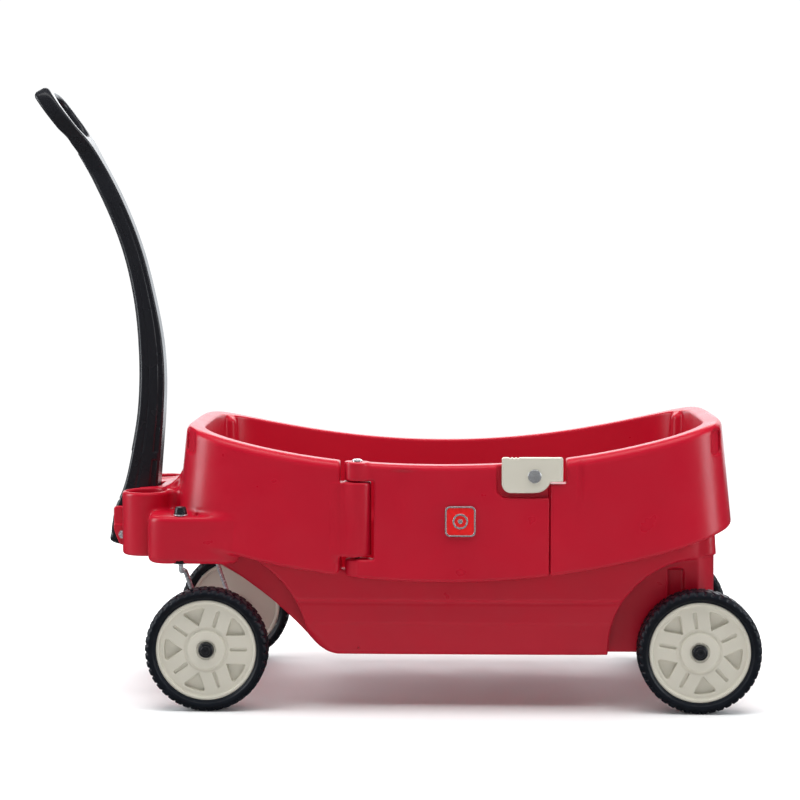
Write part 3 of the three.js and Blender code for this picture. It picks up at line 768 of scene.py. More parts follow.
def make_latch():
    low = (LATCH_HEEL, LATCH_LOW.y, LATCH_LOW.z)
    high = (LATCH_NOSE, LATCH_HIGH.y, LATCH_HIGH.z)
    plate = skinned("latch_plate", latch_field, low, high, 0.7)
    fitted(plate, "latch", ["door_latch"], "ivory_plastic", finish(ivory_plastic))
    head = -corners("latch_bolt")[0].y
    tail = -corners("latch_bolt")[1].y
    dome = [(11 * math.cos(t), 1.3 + 2.9 * math.sin(t)) for t in np.linspace(0, math.pi / 2, 14)]
    rise = [(r, head - 4.2 + h) for r, h in dome[:-1]]
    profile = [(0, tail), (3.2, tail), (4, tail + 1.6), (4, head - 4.2), (11, head - 4.2), *rise]
    profile.append((0, head))
    bolt = lathed("latch_dome_bolt", softened(profile, 0.4, 3), lying(BOLT_D, BOLT_Z, 0, -1), 64)
    fitted(bolt, "door", ["latch_bolt"], "silver", finish(silver_trim))
    hex_piece("latch_hex_nut", "latch_nut", BORE, 6.5, "door", "steel")


def hex_piece(name, node, bore, flat, body, slot, shank=None):
    """A hexagon nut, or a hexagon bolt with its shank, across the wagon, with chamfered corners."""
    low, high = corners(node)
    centre_d = back(node)
    centre_z = middle(node).z
    head_high = high.y if shank is None else shank

    def field(d, y, z):
        u = d - centre_d
        v = z - centre_z
        faces = np.abs(v)
        for angle in (math.pi / 3, -math.pi / 3):
            faces = np.maximum(faces, np.abs(u * math.sin(angle) + v * math.cos(angle)))
        head = meet(faces - flat, between(y, low.y, head_high), 0.25)
        depth = np.minimum(y - low.y, head_high - y)
        head = np.maximum(head, (rod(u, v, flat + 0.45) - depth) * 0.7)
        if shank is None:
            return carve(head, rod(u, v, bore), 0.5)
        return merge(head, meet(rod(u, v, bore), between(y, low.y + 2, high.y), 0.8), 0.3)

    wide = 1.2 * flat
    box_low = (centre_d - wide, low.y, centre_z - wide)
    box_high = (centre_d + wide, high.y, centre_z + wide)
    piece = skinned(name, field, box_low, box_high, 0.5)
    fitted(piece, body, [node], slot, finish(plated_steel))


BADGE_WELL = 0.4


def make_badge():
    """A rounded square plate with a raised border and a plain ring as its mark."""
    low, high = corners("door_badge")
    half = (high.x - low.x) / 2
    centre = middle("door_badge")
    lean = math.atan2(SKIRT_B - RIM_B, RIM_Z - SKIRT_Z)

    def square(u, v, inset, r):
        reach = half - inset
        return meet(between(u, -reach, reach), between(v, -reach, reach), r)

    def field(u, v, h):
        plate = meet(square(u, v, 0, 8), between(h, -1, 1.5), 0.7)
        well = meet(square(u, v, 2.6, 6), BADGE_WELL - h)
        plate = carve(plate, well, 0.3)
        ring = meet(np.abs(rod(u, v, 11)) - 1.5, between(h, -0.5, 1.3), 0.4)
        dot = meet(rod(u, v, 4), between(h, -0.5, 1.3), 0.4)
        return merge(plate, np.minimum(ring, dot), 0.3)

    def place(p):
        up = p[:, 1] * math.cos(lean) + p[:, 2] * math.sin(lean)
        out = -p[:, 2] * math.cos(lean) + p[:, 1] * math.sin(lean)
        return to_frame(np.stack([p[:, 0] + back("door_badge"), centre.y + out, centre.z + up], 1))

    piece = skinned("badge_plate", field, (-half, -half, -1), (half, half, 1.5), 0.45, place)
    fitted(piece, "door", ["door_badge"], "silver", finish(silver_trim), finish(badge_enamel))
    enamel_faces(piece, centre, half, lean)


def enamel_faces(piece, centre, half, lean):
    """The sunk field of the badge gets the enamel."""
    mesh = piece.data
    spots = np.zeros(len(mesh.polygons) * 3, np.float32)
    mesh.polygons.foreach_get("center", spots)
    spots = spots.reshape(-1, 3) / MM - np.array(centre)
    height = -spots[:, 1] * math.cos(lean) + spots[:, 2] * math.sin(lean)
    within = (np.abs(spots[:, 0]) < half - 2) & (np.abs(spots[:, 2]) < half - 2)
    sunk = within & (np.abs(height - BADGE_WELL) < 0.25)
    mesh.polygons.foreach_set("material_index", sunk.astype(np.int32))


# ------------------------------------------------------------------ hitch and handle
def bracket_field(d, y, z):
    """The nose bracket: two cheeks and a back plate that hold the handle's bolt."""
    side = meet(between(d, -183, -104), between(z, 245, 312), 6)
    side = carve(side, over_line(d, z, (-183, 270), (-174, 248)), 3)
    cheeks = meet(side, np.abs(y) - 35 + 1.6 * ramp(z, 279, 282), 3)
    inside = meet(d + 110.5, np.abs(y) - 27.5, 2)
    return carve(carve(cheeks, inside, 1.5), rod(d - HITCH_D, z - HITCH_Z, HITCH_BORE), 0.8)


def make_hitch():
    bracket = skinned("nose_bracket", bracket_field, (-184, -36, 244), (-103, 36, 313), 1.3)
    fitted(bracket, "body", ["hitch_bracket"], "red_plastic", finish(red_plastic))
    hex_piece("hitch_hex_nut", "hitch_nut", HITCH_BORE, 7, "body", "steel")
    hex_piece("hitch_hex_bolt", "hitch_bolt", 5, 6.5, "body", "steel", -35.4)


GRIP_D = -262
GRIP_Z = 976
GRIP_UP = (-0.58, 0.815)
HANDLE_SWING = math.radians(245)


def folded(d, y, z):
    """Where a point of the upright handle goes when the handle is folded right under the wagon."""
    cos = math.cos(HANDLE_SWING)
    sin = math.sin(HANDLE_SWING)
    u = d - HITCH_D
    v = z - HITCH_Z
    return HITCH_D + cos * u - sin * v, y, HITCH_Z + sin * u + cos * v


def grip_axes(d, z):
    """Along the grip and square to it, from its middle."""
    along = (d - GRIP_D) * GRIP_UP[0] + (z - GRIP_Z) * GRIP_UP[1]
    through = (d - GRIP_D) * GRIP_UP[1] - (z - GRIP_Z) * GRIP_UP[0]
    return along, through


def grip_hole(d, y, z):
    """The finger opening through the grip."""
    along, through = grip_axes(d, z)
    hole = meet(between(along, -42, 40), np.abs(y) - 43, 32)
    return meet(hole, np.abs(through) - 40)


# stations from heel to grip: height, middle, half depth (square to the bar) and half width
HANDLE_Z = (
    243, 249, 267, 298, 343, 409, 470, 527, 581, 672, 761, 850, 893, 928, 960, 993, 1013, 1024, 1060,
)
HANDLE_MID = (
    -166, -162, -155, -149, -138, -127.5, -120, -117, -118.5, -130.5, -152.5, -188.5, -210.5, -231,
    -254.5, -278.5, -292.5, -300.5, -326,
)
HANDLE_DEPTH = (
    9, 23, 33, 35, 29, 24.5, 22, 21.3, 20.4, 16.9, 15.5, 15, 14.4, 14.1, 13.7, 13.6, 13.6, 13.6, 13.6,
)
HANDLE_HALF = (20, 25, 26, 26.5, 26.5, 25, 23.5, 22, 21, 20, 20, 21, 22, 33, 59, 67, 62, 52, 20)


def along_handle(z, values):
    """A smooth run through the handle's stations."""
    stations = np.array(HANDLE_Z, float)
    values = np.array(values, float)
    slopes = np.gradient(values, stations)
    i = np.clip(np.searchsorted(stations, z) - 1, 0, len(values) - 2)
    step = stations[i + 1] - stations[i]
    f = np.clip((z - stations[i]) / step, 0, 1)
    rise = values[i + 1] - values[i]
    leave = step * slopes[i] * (1 - f) ** 2
    arrive = (3 - 2 * f) * rise - step * slopes[i + 1] * (1 - f)
    return values[i] + f * (leave + f * arrive)


def handle_field(rib):
    heights = np.linspace(HANDLE_Z[0] - 20, HANDLE_Z[-1] + 20, 500)
    mids = along_handle(heights, HANDLE_MID)
    leans = np.gradient(mids, heights)
    depths = along_handle(heights, HANDLE_DEPTH)
    halves = along_handle(heights, HANDLE_HALF)
    flares = np.gradient(halves, heights)

    def field(d, y, z):
        mid = np.interp(z, heights, mids)
        lean = np.interp(z, heights, leans)
        deep = np.interp(z, heights, depths)
        wide = np.interp(z, heights, halves)
        flare = np.interp(z, heights, flares)
        square = 1 / np.sqrt(1 + lean**2)
        across = (d - mid) * square
        flank = (np.abs(y) - wide) / np.sqrt(1 + (flare * square) ** 2)
        bar = meet(np.abs(across) - deep, flank, 7)
        front_lip = ramp(z, 402, 408) * (1 - ramp(z, 914, 919))
        lip = meet(meet(-(across + deep + rib * front_lip), across), np.abs(y) - wide * 0.55, 2.5)
        bar = merge(bar, np.where(front_lip > 0.01, lip, 50), 1.5)
        strip = meet(np.abs(across - 0.66 * deep) - 0.16 * deep, wide - 1.8 - np.abs(y), 0.8)
        runs = np.minimum(between(z, 403, 830), between(z, 300, 392))
        bar = carve(bar, meet(strip, runs, 3), 1)
        crease = np.sqrt((across + 0.25 * deep) ** 2 + (np.abs(y) - wide - 0.7) ** 2) - 1.6
        bar = carve(bar, meet(crease, runs, 2), 0.6)
        along = grip_axes(d, z)[0]
        bar = meet(bar, along - 59, 12)
        bar = carve(bar, grip_hole(d, y, z), 8)
        bar = meet(bar, 241.5 - z + 0.05 * (d + 166), 6)
        bar = carve(bar, bracket_field(*folded(d, y, z)) - 0.6, 1)
        return carve(bar, rod(d - HITCH_D, z - HITCH_Z, HITCH_BORE), 1)

    return field


def make_handle():
    sizes = bpy.context.scene.wagon_handle
    low, high = corners("pull_handle")
    shift = Vector((FRONT_AXLE_X, 0, 0))
    field = handle_field(sizes.front_lip / MM)
    piece = skinned("handle_bar", field, low - shift, high - shift, sizes.mesh_cell / MM)
    fitted(piece, "handle", ["pull_handle"], "charcoal_plastic", finish(charcoal_plastic))


# ------------------------------------------------------------------ wheels and tyres
WHEEL_R = 82
AXLE_HOLE = 4.4
WHEEL_TURNS = {"front_left": 36, "rear_left": 62, "front_right": 50, "rear_right": 14}


def wheel_body(label):
    """The moving body of a corner such as front_left."""
    end, side = label.split("_")
    return f"{end}_wheel_{side}"


def spoke_angle(u, v, turn, count):
    """Angle from the middle of the nearest pocket."""
    share = 2 * math.pi / count
    return (np.arctan2(v, u) - turn + share / 2) % share - share / 2


def wheel_field(turn, sizes):
    count = sizes.spokes
    half_share = math.pi / count

    def field(u, v, h):
        r = np.sqrt(u * u + v * v)
        disc = meet(r - 80, between(h, -13, 12), 1)
        band = meet(between(r, 76.5, WHEEL_R), between(h, -18, 17.5), 1.6)
        shape = merge(disc, band, 2.5)
        boss = meet(r - 32, between(h, 0, 16), 3)
        groove = meet(between(r, 31, 36), 11.2 - h, 0.8)
        shape = merge(carve(shape, groove, 1.2), boss, 1)
        shape = merge(shape, meet(r - 17, between(h, -24, 0), 1.5), 3)
        phi = spoke_angle(u, v, turn, count)
        flank = 23.5 - r * np.sin(half_share - np.abs(phi))
        pocket = meet(meet(flank, r - 69, 5), 12 - sizes.pocket_depth / MM - h, 2)
        shape = carve(shape, pocket, 1.4)
        psi = spoke_angle(u, v, turn + half_share, count)
        run = np.maximum(between(r * np.cos(psi), 41, 63), 0)
        slot = np.sqrt(run**2 + (r * np.sin(psi)) ** 2) - 2.6
        shape = carve(shape, meet(slot, 8.5 - h, 0.8), 0.9)
        shape = carve(shape, meet(r - 15.7, 11.2 - h, 0.5), 0.8)
        ring = meet(between(r, 12.9, 15.2), between(h, 9, 14.6), 0.7)
        shape = merge(shape, ring, 0.2)
        return carve(shape, r - AXLE_HOLE, 0.4)

    return field


def make_wheels():
    sizes = bpy.context.scene.wagon_wheels
    low = (-WHEEL_R, -WHEEL_R, -24)
    high = (WHEEL_R, WHEEL_R, 18)
    for label, turn in WHEEL_TURNS.items():
        centre = middle(f"tyre_{label}")
        way = 1 if centre.y > 0 else -1
        place = lying(back(f"tyre_{label}"), centre.z, centre.y, way)
        field = wheel_field(math.radians(turn), sizes)
        piece = skinned(f"spoked_wheel_{label}", field, low, high, sizes.mesh_cell / MM, place)
        if way > 0:
            piece.data.flip_normals()
        wheel = finish(ivory_plastic)
        fitted(piece, wheel_body(label), [f"wheel_{label}"], "ivory_plastic", wheel)


def tread(blocks, depth):
    """Zig-zag grooves that cut the tread into blocks, open at both shoulders."""

    def relief(radius, height, angle):
        side = np.abs(height)
        zigzag = np.abs(((side / 9.0) % 2) - 1) * 0.3
        mirror = np.where(height > 0, 0.0, 0.5)
        place = (angle * blocks / (2 * math.pi) + zigzag + mirror) % 1
        cross = ramp(0.17 - np.abs(place - 0.5), -0.035, 0.035)
        weave = 2.4 * (np.abs(((angle * blocks / (2 * math.pi)) % 1) * 2 - 1) * 2 - 1)
        middle_line = ramp(1.5 - np.abs(height - weave), -0.7, 0.7)
        cut = np.maximum(cross * ramp(side, 4.5, 7), middle_line)
        return depth * cut * ramp(radius, 93, 96.5)

    return relief


def make_tyres():
    sizes = bpy.context.scene.wagon_wheels
    radius = corners("tyre_front_left")[1].z - WHEEL_Z
    outline = [
        (82.3, -19), (84, -20.2), (85.2, -20.8), (87, -22.8), (91, -24), (94, -23.6), (97, -21.4),
        (radius - 0.6, -18.4), (radius, -15), (radius, 15), (radius - 0.6, 18.4), (97, 21.4),
        (94, 23.6), (91, 24), (87, 22.8), (85.2, 20.8), (84, 20.2), (82.3, 19),
    ]
    profile = resampled(softened(outline, 1.2, 3), 1.1)
    relief = tread(sizes.tread_blocks, sizes.tread_depth / MM)
    for label in sorted(WHEEL_TURNS):
        centre = middle(f"tyre_{label}")
        place = lying(back(f"tyre_{label}"), centre.z, centre.y)
        piece = lathed(f"treaded_tyre_{label}", profile, place, sizes.tread_blocks * 16, True, relief)
        fitted(piece, wheel_body(label), [f"tyre_{label}"], "tyre", finish(tyre_rubber))


def resampled(profile, step):
    """The same profile with points no further apart than step."""
    out = []
    for start, end in zip(profile, profile[1:]):
        length = math.dist(start, end)
        parts = max(1, math.ceil(length / step))
        for i in range(parts):
            t = i / parts
            out.append((start[0] + (end[0] - start[0]) * t, start[1] + (end[1] - start[1]) * t))
    out.append(profile[-1])
    return out


def make_axle_caps():
    for end in ("front", "rear"):
        for side, way in SIDES.items():
            node = f"axle_cap_{end}_{side}"
            low, high = corners(node)
            face = (low.y if way < 0 else high.y) * way - WHEEL_Y
            profile = [
                (0, 20.5), (BORE, 20.5), (BORE, 11.4), (12.4, 11.4), (12.4, 19), (11.8, 21), (10.2, 22.4),
                (8.4, 22.8), (7.6, 23.6), (7.2, face - 0.4), (6.4, face), (3.4, face - 0.2),
                (2.6, face - 1.2), (0, face - 1.4),
            ]
            place = lying(back(node), middle(node).z, way * WHEEL_Y, way)
            piece = lathed(f"push_cap_{end}_{side}", softened(profile, 0.7, 4), place, 64)
            body = wheel_body(f"{end}_{side}")
            fitted(piece, body, [node], "charcoal_plastic", finish(charcoal_plastic))


def make_spacers():
    outline = [
        (BORE, -24.4), (BORE, -30), (10, -30), (10, -29), (9.2, -28.4), (9.2, -26), (10, -25.4),
        (10, -24.4),
    ]
    profile = softened(outline, 0.4, 3)
    for end in ("front", "rear"):
        for side, way in SIDES.items():
            node = f"axle_spacer_{end}_{side}"
            place = lying(back(node), middle(node).z, way * WHEEL_Y, way)
            piece = lathed(f"spacer_ring_{end}_{side}", profile, place, 56, True)
            body = "body" if end == "rear" else f"caster_{side}"
            fitted(piece, body, [node], "steel", finish(plated_steel))


# ------------------------------------------------------------------ casters and rear axle
def round_bend(before, corner, after, bend):
    """Points round a corner of a route, from one tangent to the next."""
    start = corner + (before - corner) / np.linalg.norm(before - corner) * bend
    end = corner + (after - corner) / np.linalg.norm(after - corner) * bend
    steps = np.linspace(0, 1, 10)
    return [(1 - t) ** 2 * start + 2 * t * (1 - t) * corner + t * t * end for t in steps]


def rod_route(side):
    """Points along the bent caster rod, from its top to the end of its axle, with round bends."""
    top = corners("caster_rod_left")[1].z - 1
    low_d = back("axle_cap_front_left")
    leg_y = 161
    bend_z = 226
    turns = [
        (CASTER_D, WHEEL_Y, top), (CASTER_D, WHEEL_Y, bend_z), (CASTER_D, leg_y, bend_z - 4),
        (low_d, leg_y, WHEEL_Z), (low_d, WHEEL_Y + 18, WHEEL_Z),
    ]
    turns = [np.array((d, side * y, z), float) for d, y, z in turns]
    bend = 11
    points = [turns[0]]
    for before, corner, after in zip(turns, turns[1:], turns[2:]):
        curve = round_bend(before, corner, after, bend)
        last = points[-1]
        run = max(2, int(np.linalg.norm(curve[0] - last) / 4))
        points += [last + (curve[0] - last) * i / run for i in range(1, run)]
        points += curve
    last = points[-1]
    points += [last + (turns[-1] - last) * i / 12 for i in range(1, 13)]
    return np.array(points)


def swept(name, route, radius, sides=28):
    """A round bar along a route, with rounded ends."""
    ahead = np.gradient(route, axis=0)
    ahead /= np.linalg.norm(ahead, axis=1)[:, None]
    side = np.cross(ahead[0], (1.0, 0.3, 0.2))
    rings = []
    angles = np.arange(sides) * 2 * math.pi / sides
    for i, point in enumerate(route):
        side = side - ahead[i] * np.dot(side, ahead[i])
        side /= np.linalg.norm(side)
        other = np.cross(ahead[i], side)
        spin = np.outer(np.cos(angles), side) + np.outer(np.sin(angles), other)
        rings.append((point, spin, ahead[i]))
    stack = []
    for t in np.linspace(0, math.pi / 2, 6)[:-1]:
        point, spin, way = rings[0]
        stack.append(point - way * radius * 0.35 * math.cos(t) + spin * radius * math.sin(t))
    stack += [point + spin * radius for point, spin, way in rings]
    for t in np.linspace(0, math.pi / 2, 6)[1:]:
        point, spin, way = rings[-1]
        stack.append(point + way * radius * 0.35 * math.sin(t) + spin * radius * math.cos(t))
    points = np.concatenate(stack)
    i, j = np.meshgrid(np.arange(len(stack) - 1), np.arange(sides), indexing="ij")
    n = (j + 1) % sides
    faces = np.stack([i * sides + j, i * sides + n, (i + 1) * sides + n, (i + 1) * sides + j], -1)
    piece = as_object(name, to_frame(points), faces.reshape(-1, 4))
    close_up(piece)
    return piece


def make_bush(side, stand):
    node = f"caster_bush_{side}"
    low, high = corners(node)
    flange = [
        (BORE, low.z), (13, low.z), (14, low.z + 1), (14, low.z + 8.2), (9, low.z + 8.6),
        (9, high.z), (BORE, high.z),
    ]
    bush = lathed(f"swivel_bush_{side}", softened(flange, 0.6, 3), stand, 56, True)
    fitted(bush, "body", [node], "charcoal_plastic", finish(charcoal_plastic))


def make_washer(side, stand):
    node = f"caster_washer_{side}"
    low, high = corners(node)
    disc = [(BORE, low.z), (11.5, low.z), (11.5, high.z), (BORE, high.z)]
    washer = lathed(f"flat_washer_{side}", softened(disc, 0.5, 3), stand, 56, True)
    fitted(washer, f"caster_{side}", [node], "steel", finish(plated_steel))


def make_caster_cap(side, stand):
    node = f"caster_cap_{side}"
    low, high = corners(node)
    dome = [
        (BORE, low.z), (10.8, low.z), (10.8, low.z + 2.2), (10.3, low.z + 2.8), (8.9, high.z - 1.8),
        (7.6, high.z - 0.3), (3, high.z), (0, high.z), (0, low.z + 8.4), (BORE, low.z + 8.4),
        (BORE, low.z),
    ]
    cap = lathed(f"push_on_cap_{side}", softened(dome, 0.8, 4), stand, 56)
    fitted(cap, f"caster_{side}", [node], "charcoal_plastic", finish(charcoal_plastic))


def make_casters():
    for side, way in SIDES.items():
        bar = swept(f"bent_rod_{side}", rod_route(way), 3.95)
        fitted(bar, f"caster_{side}", [f"caster_rod_{side}"], "steel", finish(plated_steel))
        stand = standing(CASTER_D, way * WHEEL_Y)
        make_bush(side, stand)
        make_washer(side, stand)
        make_caster_cap(side, stand)


def clip_field(low, high):
    """A ribbed clip that holds the rear axle in its groove, between two corners."""

    def field(d, y, z):
        clip = brick(d, y, z, list(zip(low, high)), 2)
        ribs = np.abs(((y - low.y) / 8.75) % 1 - 0.5) * 8.75 - 1.4
        ribs = meet(meet(ribs, z - low.z - 2.5), between(y, low.y + 4, high.y - 4))
        clip = carve(clip, ribs, 0.6)
        return carve(clip, rod(d - WHEELBASE, z - WHEEL_Z, BORE), 0.4)

    return field


def make_rear_axle():
    low, high = corners("rear_axle")
    near = [
        (0, 0), (3.2, 0), (4, 0.9), (4, 6), (3.6, 6.4), (3.6, 8), (4, 8.4),
    ]
    ends = [(r, low.y + h) for r, h in near] + [(r, high.y - h) for r, h in reversed(near)]
    place = lying(back("rear_axle"), middle("rear_axle").z)
    axle = lathed("rear_axle_bar", softened(ends, 0.3, 3), place, 40)
    fitted(axle, "body", ["rear_axle"], "steel", finish(plated_steel))
    shift = Vector((FRONT_AXLE_X, 0, 0))
    for side in SIDES:
        low, high = (corner - shift for corner in corners(f"axle_clip_{side}"))
        clip = skinned(f"ribbed_clip_{side}", clip_field(low, high), low, high, 1.0)
        fitted(clip, "body", [f"axle_clip_{side}"], "charcoal_plastic", finish(charcoal_plastic))


# ------------------------------------------------------------------ stage
def floor_finish():
    n = Nodes("pale_floor")
    shade = bpy.context.scene.wagon_stage.floor_colour
    cloud = n.fit(n.noise(1.3, 3.0), 0, 1)
    base = n.blend(cloud, tone(shade, 0.985), tone(shade, 1.0))
    grain = n.bump(n.noise(260.0, 3.0), 0.0003, 0.2)
    return n.set(Base_Color=base, Roughness=n.fit(n.noise(14.0), 0.55, 0.68), Normal=grain)


def softbox(name, at, toward, size, strength, tint=(1.0, 1.0, 1.0)):
    """A rectangular soft light at a point, facing another."""
    light = bpy.data.lights.new(name, "AREA")
    light.shape = "RECTANGLE"
    light.size, light.size_y = size
    light.energy = strength
    light.color = tint
    lamp = bpy.data.objects.new(name, light)
    lamp.location = at
    lamp.rotation_euler = (Vector(toward) - Vector(at)).to_track_quat("-Z", "Y").to_euler()
    lamp.visible_camera = False
    bpy.context.scene.collection.objects.link(lamp)
    return lamp


def make_floor(size, cells=24):
    steps = np.linspace(-size / 2, size / 2, cells + 1)
    x, y = np.meshgrid(steps, steps, indexing="ij")
    points = np.stack([x, y, 0 * x], -1).reshape(-1, 3)
    i, j = np.meshgrid(np.arange(cells), np.arange(cells), indexing="ij")
    first = i * (cells + 1) + j
    second = first + cells + 1
    faces = np.stack([first, second, second + 1, first + 1], -1)
    floor = as_object("studio_floor", points, faces.reshape(-1, 4))
    floor.data.materials.append(floor_finish())
    floor.visible_glossy = False


def make_surround(ambient):
    """White behind the wagon, even soft light all round, and a dimmer, cooler glow in reflections."""
    world = bpy.data.worlds.new("studio_surround")
    bpy.context.scene.world = world
    world.use_nodes = True
    tree = world.node_tree
    tree.nodes.clear()

    def glow(colour, strength):
        node = tree.nodes.new("ShaderNodeBackground")
        feed(tree, node.inputs["Color"], (*colour, 1))
        feed(tree, node.inputs["Strength"], strength)
        return node.outputs[0]

    def either(ray, no, yes):
        node = tree.nodes.new("ShaderNodeMixShader")
        for socket, value in zip(node.inputs, (path.outputs[ray], no, yes)):
            feed(tree, socket, value)
        return node.outputs[0]

    path = tree.nodes.new("ShaderNodeLightPath")
    seen = glow((1, 1, 1), 1.05)
    felt = glow((1, 1, 1), ambient)
    mirrored = glow((0.85, 0.92, 1), 0.3 * ambient)
    out = tree.nodes.new("ShaderNodeOutputWorld")
    unseen = either("Is Glossy Ray", felt, mirrored)
    feed(tree, out.inputs["Surface"], either("Is Camera Ray", unseen, seen))


def make_lights(power):
    cool = (0.92, 0.96, 1.0)
    broad = softbox("overhead_box", (0.1, -0.2, 2.7), (0.1, 0, 0.2), (3.4, 2.6), 112 * power)
    softbox("overhead_strip", (0.1, -0.5, 2.5), (0.1, 0, 0.3), (2.6, 0.5), 9 * power)
    softbox("left_box", (-2.4, -0.4, 1.1), (0, -0.1, 0.4), (0.9, 1.7), 26 * power, cool)
    softbox("right_box", (2.8, -0.5, 1.0), (0.2, -0.1, 0.3), (0.9, 1.7), 22 * power, cool)
    fill = softbox("front_fill", (0.4, -3.4, 1.6), (0.1, 0, 0.3), (3.0, 1.6), 17 * power)
    softbox("back_wash", (0.1, 2.6, 2.2), (0.1, 0.6, 0.0), (3.4, 1.4), 40 * power)
    softbox("pale_wall", (0.1, 2.5, 1.0), (0.1, 0, 0.7), (4.4, 1.7), 40 * power, cool)
    for lamp in (broad, fill):
        lamp.visible_glossy = False


def make_camera(sizes):
    lens = bpy.data.cameras.new("studio_camera")
    lens.lens = sizes.lens
    lens.sensor_width = 36
    camera = bpy.data.objects.new("studio_camera", lens)
    camera.location = (sizes.camera_x, -sizes.camera_distance, sizes.camera_height)
    camera.rotation_euler = (math.pi / 2 - sizes.camera_tilt, 0, sizes.camera_turn)
    bpy.context.scene.collection.objects.link(camera)
    bpy.context.scene.camera = camera


def make_stage():
    scene = bpy.context.scene
    sizes = scene.wagon_stage
    make_floor(sizes.floor_size)
    make_surround(sizes.ambient)
    make_lights(sizes.light_power)
    make_camera(sizes)
    scene.view_settings.view_transform = "Standard"


# ------------------------------------------------------------------ settings
def length(name, description, default):
    return bpy.props.FloatProperty(
        name=name, description=description, default=default, min=0, unit="LENGTH", precision=4
    )


def colour(name, description, default):
    return bpy.props.FloatVectorProperty(
        name=name, description=description, default=default, size=3, min=0, max=1, subtype="COLOR"
    )


def amount(name, description, default, **limits):
    return bpy.props.FloatProperty(name=name, description=description, default=default, **limits)


class WagonBodySettings(bpy.types.PropertyGroup):
    rim_radius: length("Rim radius", "Rounding along the inner top edge of the wall and door", 0.003)
    crown_radius: length("Crown radius", "Rounding along the outer top edge of the wall", 0.015)
    skirt_radius: length("Skirt radius", "Rounding along the wall's lower edge", 0.004)
    edge_radius: length("Edge radius", "Rounding down the ends of the door and doorway", 0.004)
    console_fillet: length("Console fillet", "Fillet where the console joins the wall", 0.010)
    mesh_cell: length("Mesh cell", "Size of the mesh cells on the body", 0.0023)


class WagonHandleSettings(bpy.types.PropertyGroup):
    front_lip: length("Front lip", "How proud the handle's front rib stands", 0.0022)
    mesh_cell: length("Mesh cell", "Size of the mesh cells on the handle", 0.0017)


class WagonWheelSettings(bpy.types.PropertyGroup):
    spokes: bpy.props.IntProperty(name="Spokes", description="Spokes in a wheel", default=5, min=3)
    pocket_depth: length("Pocket depth", "Depth of the pockets between the spokes", 0.008)
    tread_blocks: bpy.props.IntProperty(
        name="Tread blocks", description="Blocks round each shoulder of a tyre", default=45, min=8
    )
    tread_depth: length("Tread depth", "Depth of the grooves in a tyre", 0.0024)
    mesh_cell: length("Mesh cell", "Size of the mesh cells on a wheel", 0.0011)


class WagonFinishSettings(bpy.types.PropertyGroup):
    red: colour("Red", "Moulded body and door", (0.45, 0.0042, 0.0205))
    red_gloss: amount("Red roughness", "How dull the red is", 0.3, min=0, max=1, subtype="FACTOR")
    ivory: colour("Ivory", "Wheels and latch", (0.60, 0.575, 0.49))
    charcoal: colour("Charcoal", "Handle, caps and bushes", (0.013, 0.0135, 0.0165))
    rubber: colour("Rubber", "Tyres", (0.006, 0.008, 0.013))
    steel: colour("Steel", "Rods, axle, nuts and washers", (0.80, 0.83, 0.88))
    silver: colour("Silver", "Hinge pin, latch bolt and badge border", (0.78, 0.79, 0.81))
    enamel: colour("Enamel", "Field of the badge", (0.72, 0.016, 0.018))


class WagonStageSettings(bpy.types.PropertyGroup):
    floor_size: length("Floor size", "Width of the studio floor", 4.4)
    floor_colour: colour("Floor colour", "Pale floor", (0.93, 0.93, 0.93))
    light_power: amount("Light power", "Scales every soft light", 1.0, min=0)
    ambient: amount("Ambient", "Even light from all round", 0.12, min=0)
    lens: amount("Lens", "Focal length in millimetres", 85, min=1, unit="CAMERA")
    camera_x: length("Camera along", "Camera's place along the wagon", 0.1075)
    camera_distance: length("Camera distance", "Camera's distance from the middle plane", 3.2499)
    camera_height: length("Camera height", "Camera's height over the floor", 0.7087)
    camera_turn: amount("Camera turn", "Turn toward the nose", 0.028076, unit="ROTATION")
    camera_tilt: amount("Camera tilt", "Tilt below level", 0.066136, unit="ROTATION")


SETTINGS = {
    "wagon_body": WagonBodySettings,
    "wagon_handle": WagonHandleSettings,
    "wagon_wheels": WagonWheelSettings,
    "wagon_finishes": WagonFinishSettings,
    "wagon_stage": WagonStageSettings,
}


# ------------------------------------------------------------------ operators and panel
class WAGON_OT_body(bpy.types.Operator):
    """Mould the hull, side wall and nose console in one piece"""

    bl_idname = "wagon.body"
    bl_label = "Moulded Body"

    def execute(self, context):
        make_body()
        return {"FINISHED"}


class WAGON_OT_door(bpy.types.Operator):
    """Mould the side door and turn its hinge pin"""

    bl_idname = "wagon.door"
    bl_label = "Door and Hinge Pin"

    def execute(self, context):
        make_door()
        make_hinge_pin()
        return {"FINISHED"}


class WAGON_OT_latch(bpy.types.Operator):
    """Make the latch plate with its bolt and nut"""

    bl_idname = "wagon.latch"
    bl_label = "Latch"

    def execute(self, context):
        make_latch()
        return {"FINISHED"}


class WAGON_OT_badge(bpy.types.Operator):
    """Make the plain badge on the door"""

    bl_idname = "wagon.badge"
    bl_label = "Badge"

    def execute(self, context):
        make_badge()
        return {"FINISHED"}


class WAGON_OT_hitch(bpy.types.Operator):
    """Mould the nose bracket and make its bolt and nut"""

    bl_idname = "wagon.hitch"
    bl_label = "Hitch"

    def execute(self, context):
        make_hitch()
        return {"FINISHED"}


class WAGON_OT_handle(bpy.types.Operator):
    """Mould the curved pull handle"""

    bl_idname = "wagon.handle"
    bl_label = "Pull Handle"

    def execute(self, context):
        make_handle()
        return {"FINISHED"}


class WAGON_OT_wheels(bpy.types.Operator):
    """Mould the four spoked wheels"""

    bl_idname = "wagon.wheels"
    bl_label = "Wheels"

    def execute(self, context):
        make_wheels()
        return {"FINISHED"}


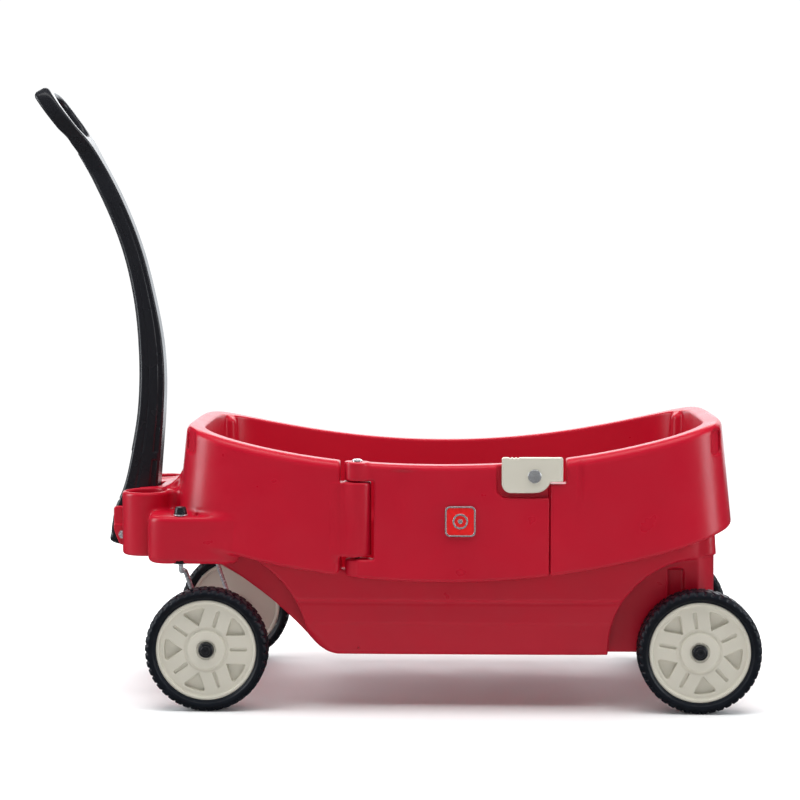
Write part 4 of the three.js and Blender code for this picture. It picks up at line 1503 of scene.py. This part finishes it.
class WAGON_OT_tyres(bpy.types.Operator):
    """Mould the four treaded tyres"""

    bl_idname = "wagon.tyres"
    bl_label = "Tyres"

    def execute(self, context):
        make_tyres()
        return {"FINISHED"}


class WAGON_OT_axle_parts(bpy.types.Operator):
    """Turn the axle caps and spacers and the rear axle, and mould its clips"""

    bl_idname = "wagon.axle_parts"
    bl_label = "Axle, Caps and Spacers"

    def execute(self, context):
        make_axle_caps()
        make_spacers()
        make_rear_axle()
        return {"FINISHED"}


class WAGON_OT_casters(bpy.types.Operator):
    """Bend the two caster rods and make their bushes, washers and caps"""

    bl_idname = "wagon.casters"
    bl_label = "Casters"

    def execute(self, context):
        make_casters()
        return {"FINISHED"}


class WAGON_OT_stage(bpy.types.Operator):
    """Lay the pale floor and set the soft lights and the camera"""

    bl_idname = "wagon.stage"
    bl_label = "Studio"

    def execute(self, context):
        make_stage()
        return {"FINISHED"}


OPERATORS = (
    WAGON_OT_body, WAGON_OT_door, WAGON_OT_latch, WAGON_OT_badge, WAGON_OT_hitch, WAGON_OT_handle,
    WAGON_OT_wheels, WAGON_OT_tyres, WAGON_OT_axle_parts, WAGON_OT_casters, WAGON_OT_stage,
)


class WAGON_PT_panel(bpy.types.Panel):
    """Lists the wagon's pieces and their settings"""

    bl_label = "Pull Wagon"
    bl_idname = "WAGON_PT_panel"
    bl_space_type = "VIEW_3D"
    bl_region_type = "UI"
    bl_category = "Wagon"

    def draw(self, context):
        for operator in OPERATORS:
            self.layout.operator(operator.bl_idname)
        for key, settings in SETTINGS.items():
            box = self.layout.box()
            for field in settings.__annotations__:
                box.prop(getattr(context.scene, key), field)


def register():
    for cls in (*SETTINGS.values(), *OPERATORS, WAGON_PT_panel):
        bpy.utils.register_class(cls)
    for key, settings in SETTINGS.items():
        setattr(bpy.types.Scene, key, bpy.props.PointerProperty(type=settings))


def unregister():
    for key in SETTINGS:
        delattr(bpy.types.Scene, key)
    for cls in reversed((*SETTINGS.values(), *OPERATORS, WAGON_PT_panel)):
        bpy.utils.unregister_class(cls)


def main():
    register()
    for operator in OPERATORS:
        group, name = operator.bl_idname.split(".")
        getattr(getattr(bpy.ops, group), name)()


if __name__ == "__main__":
    main()
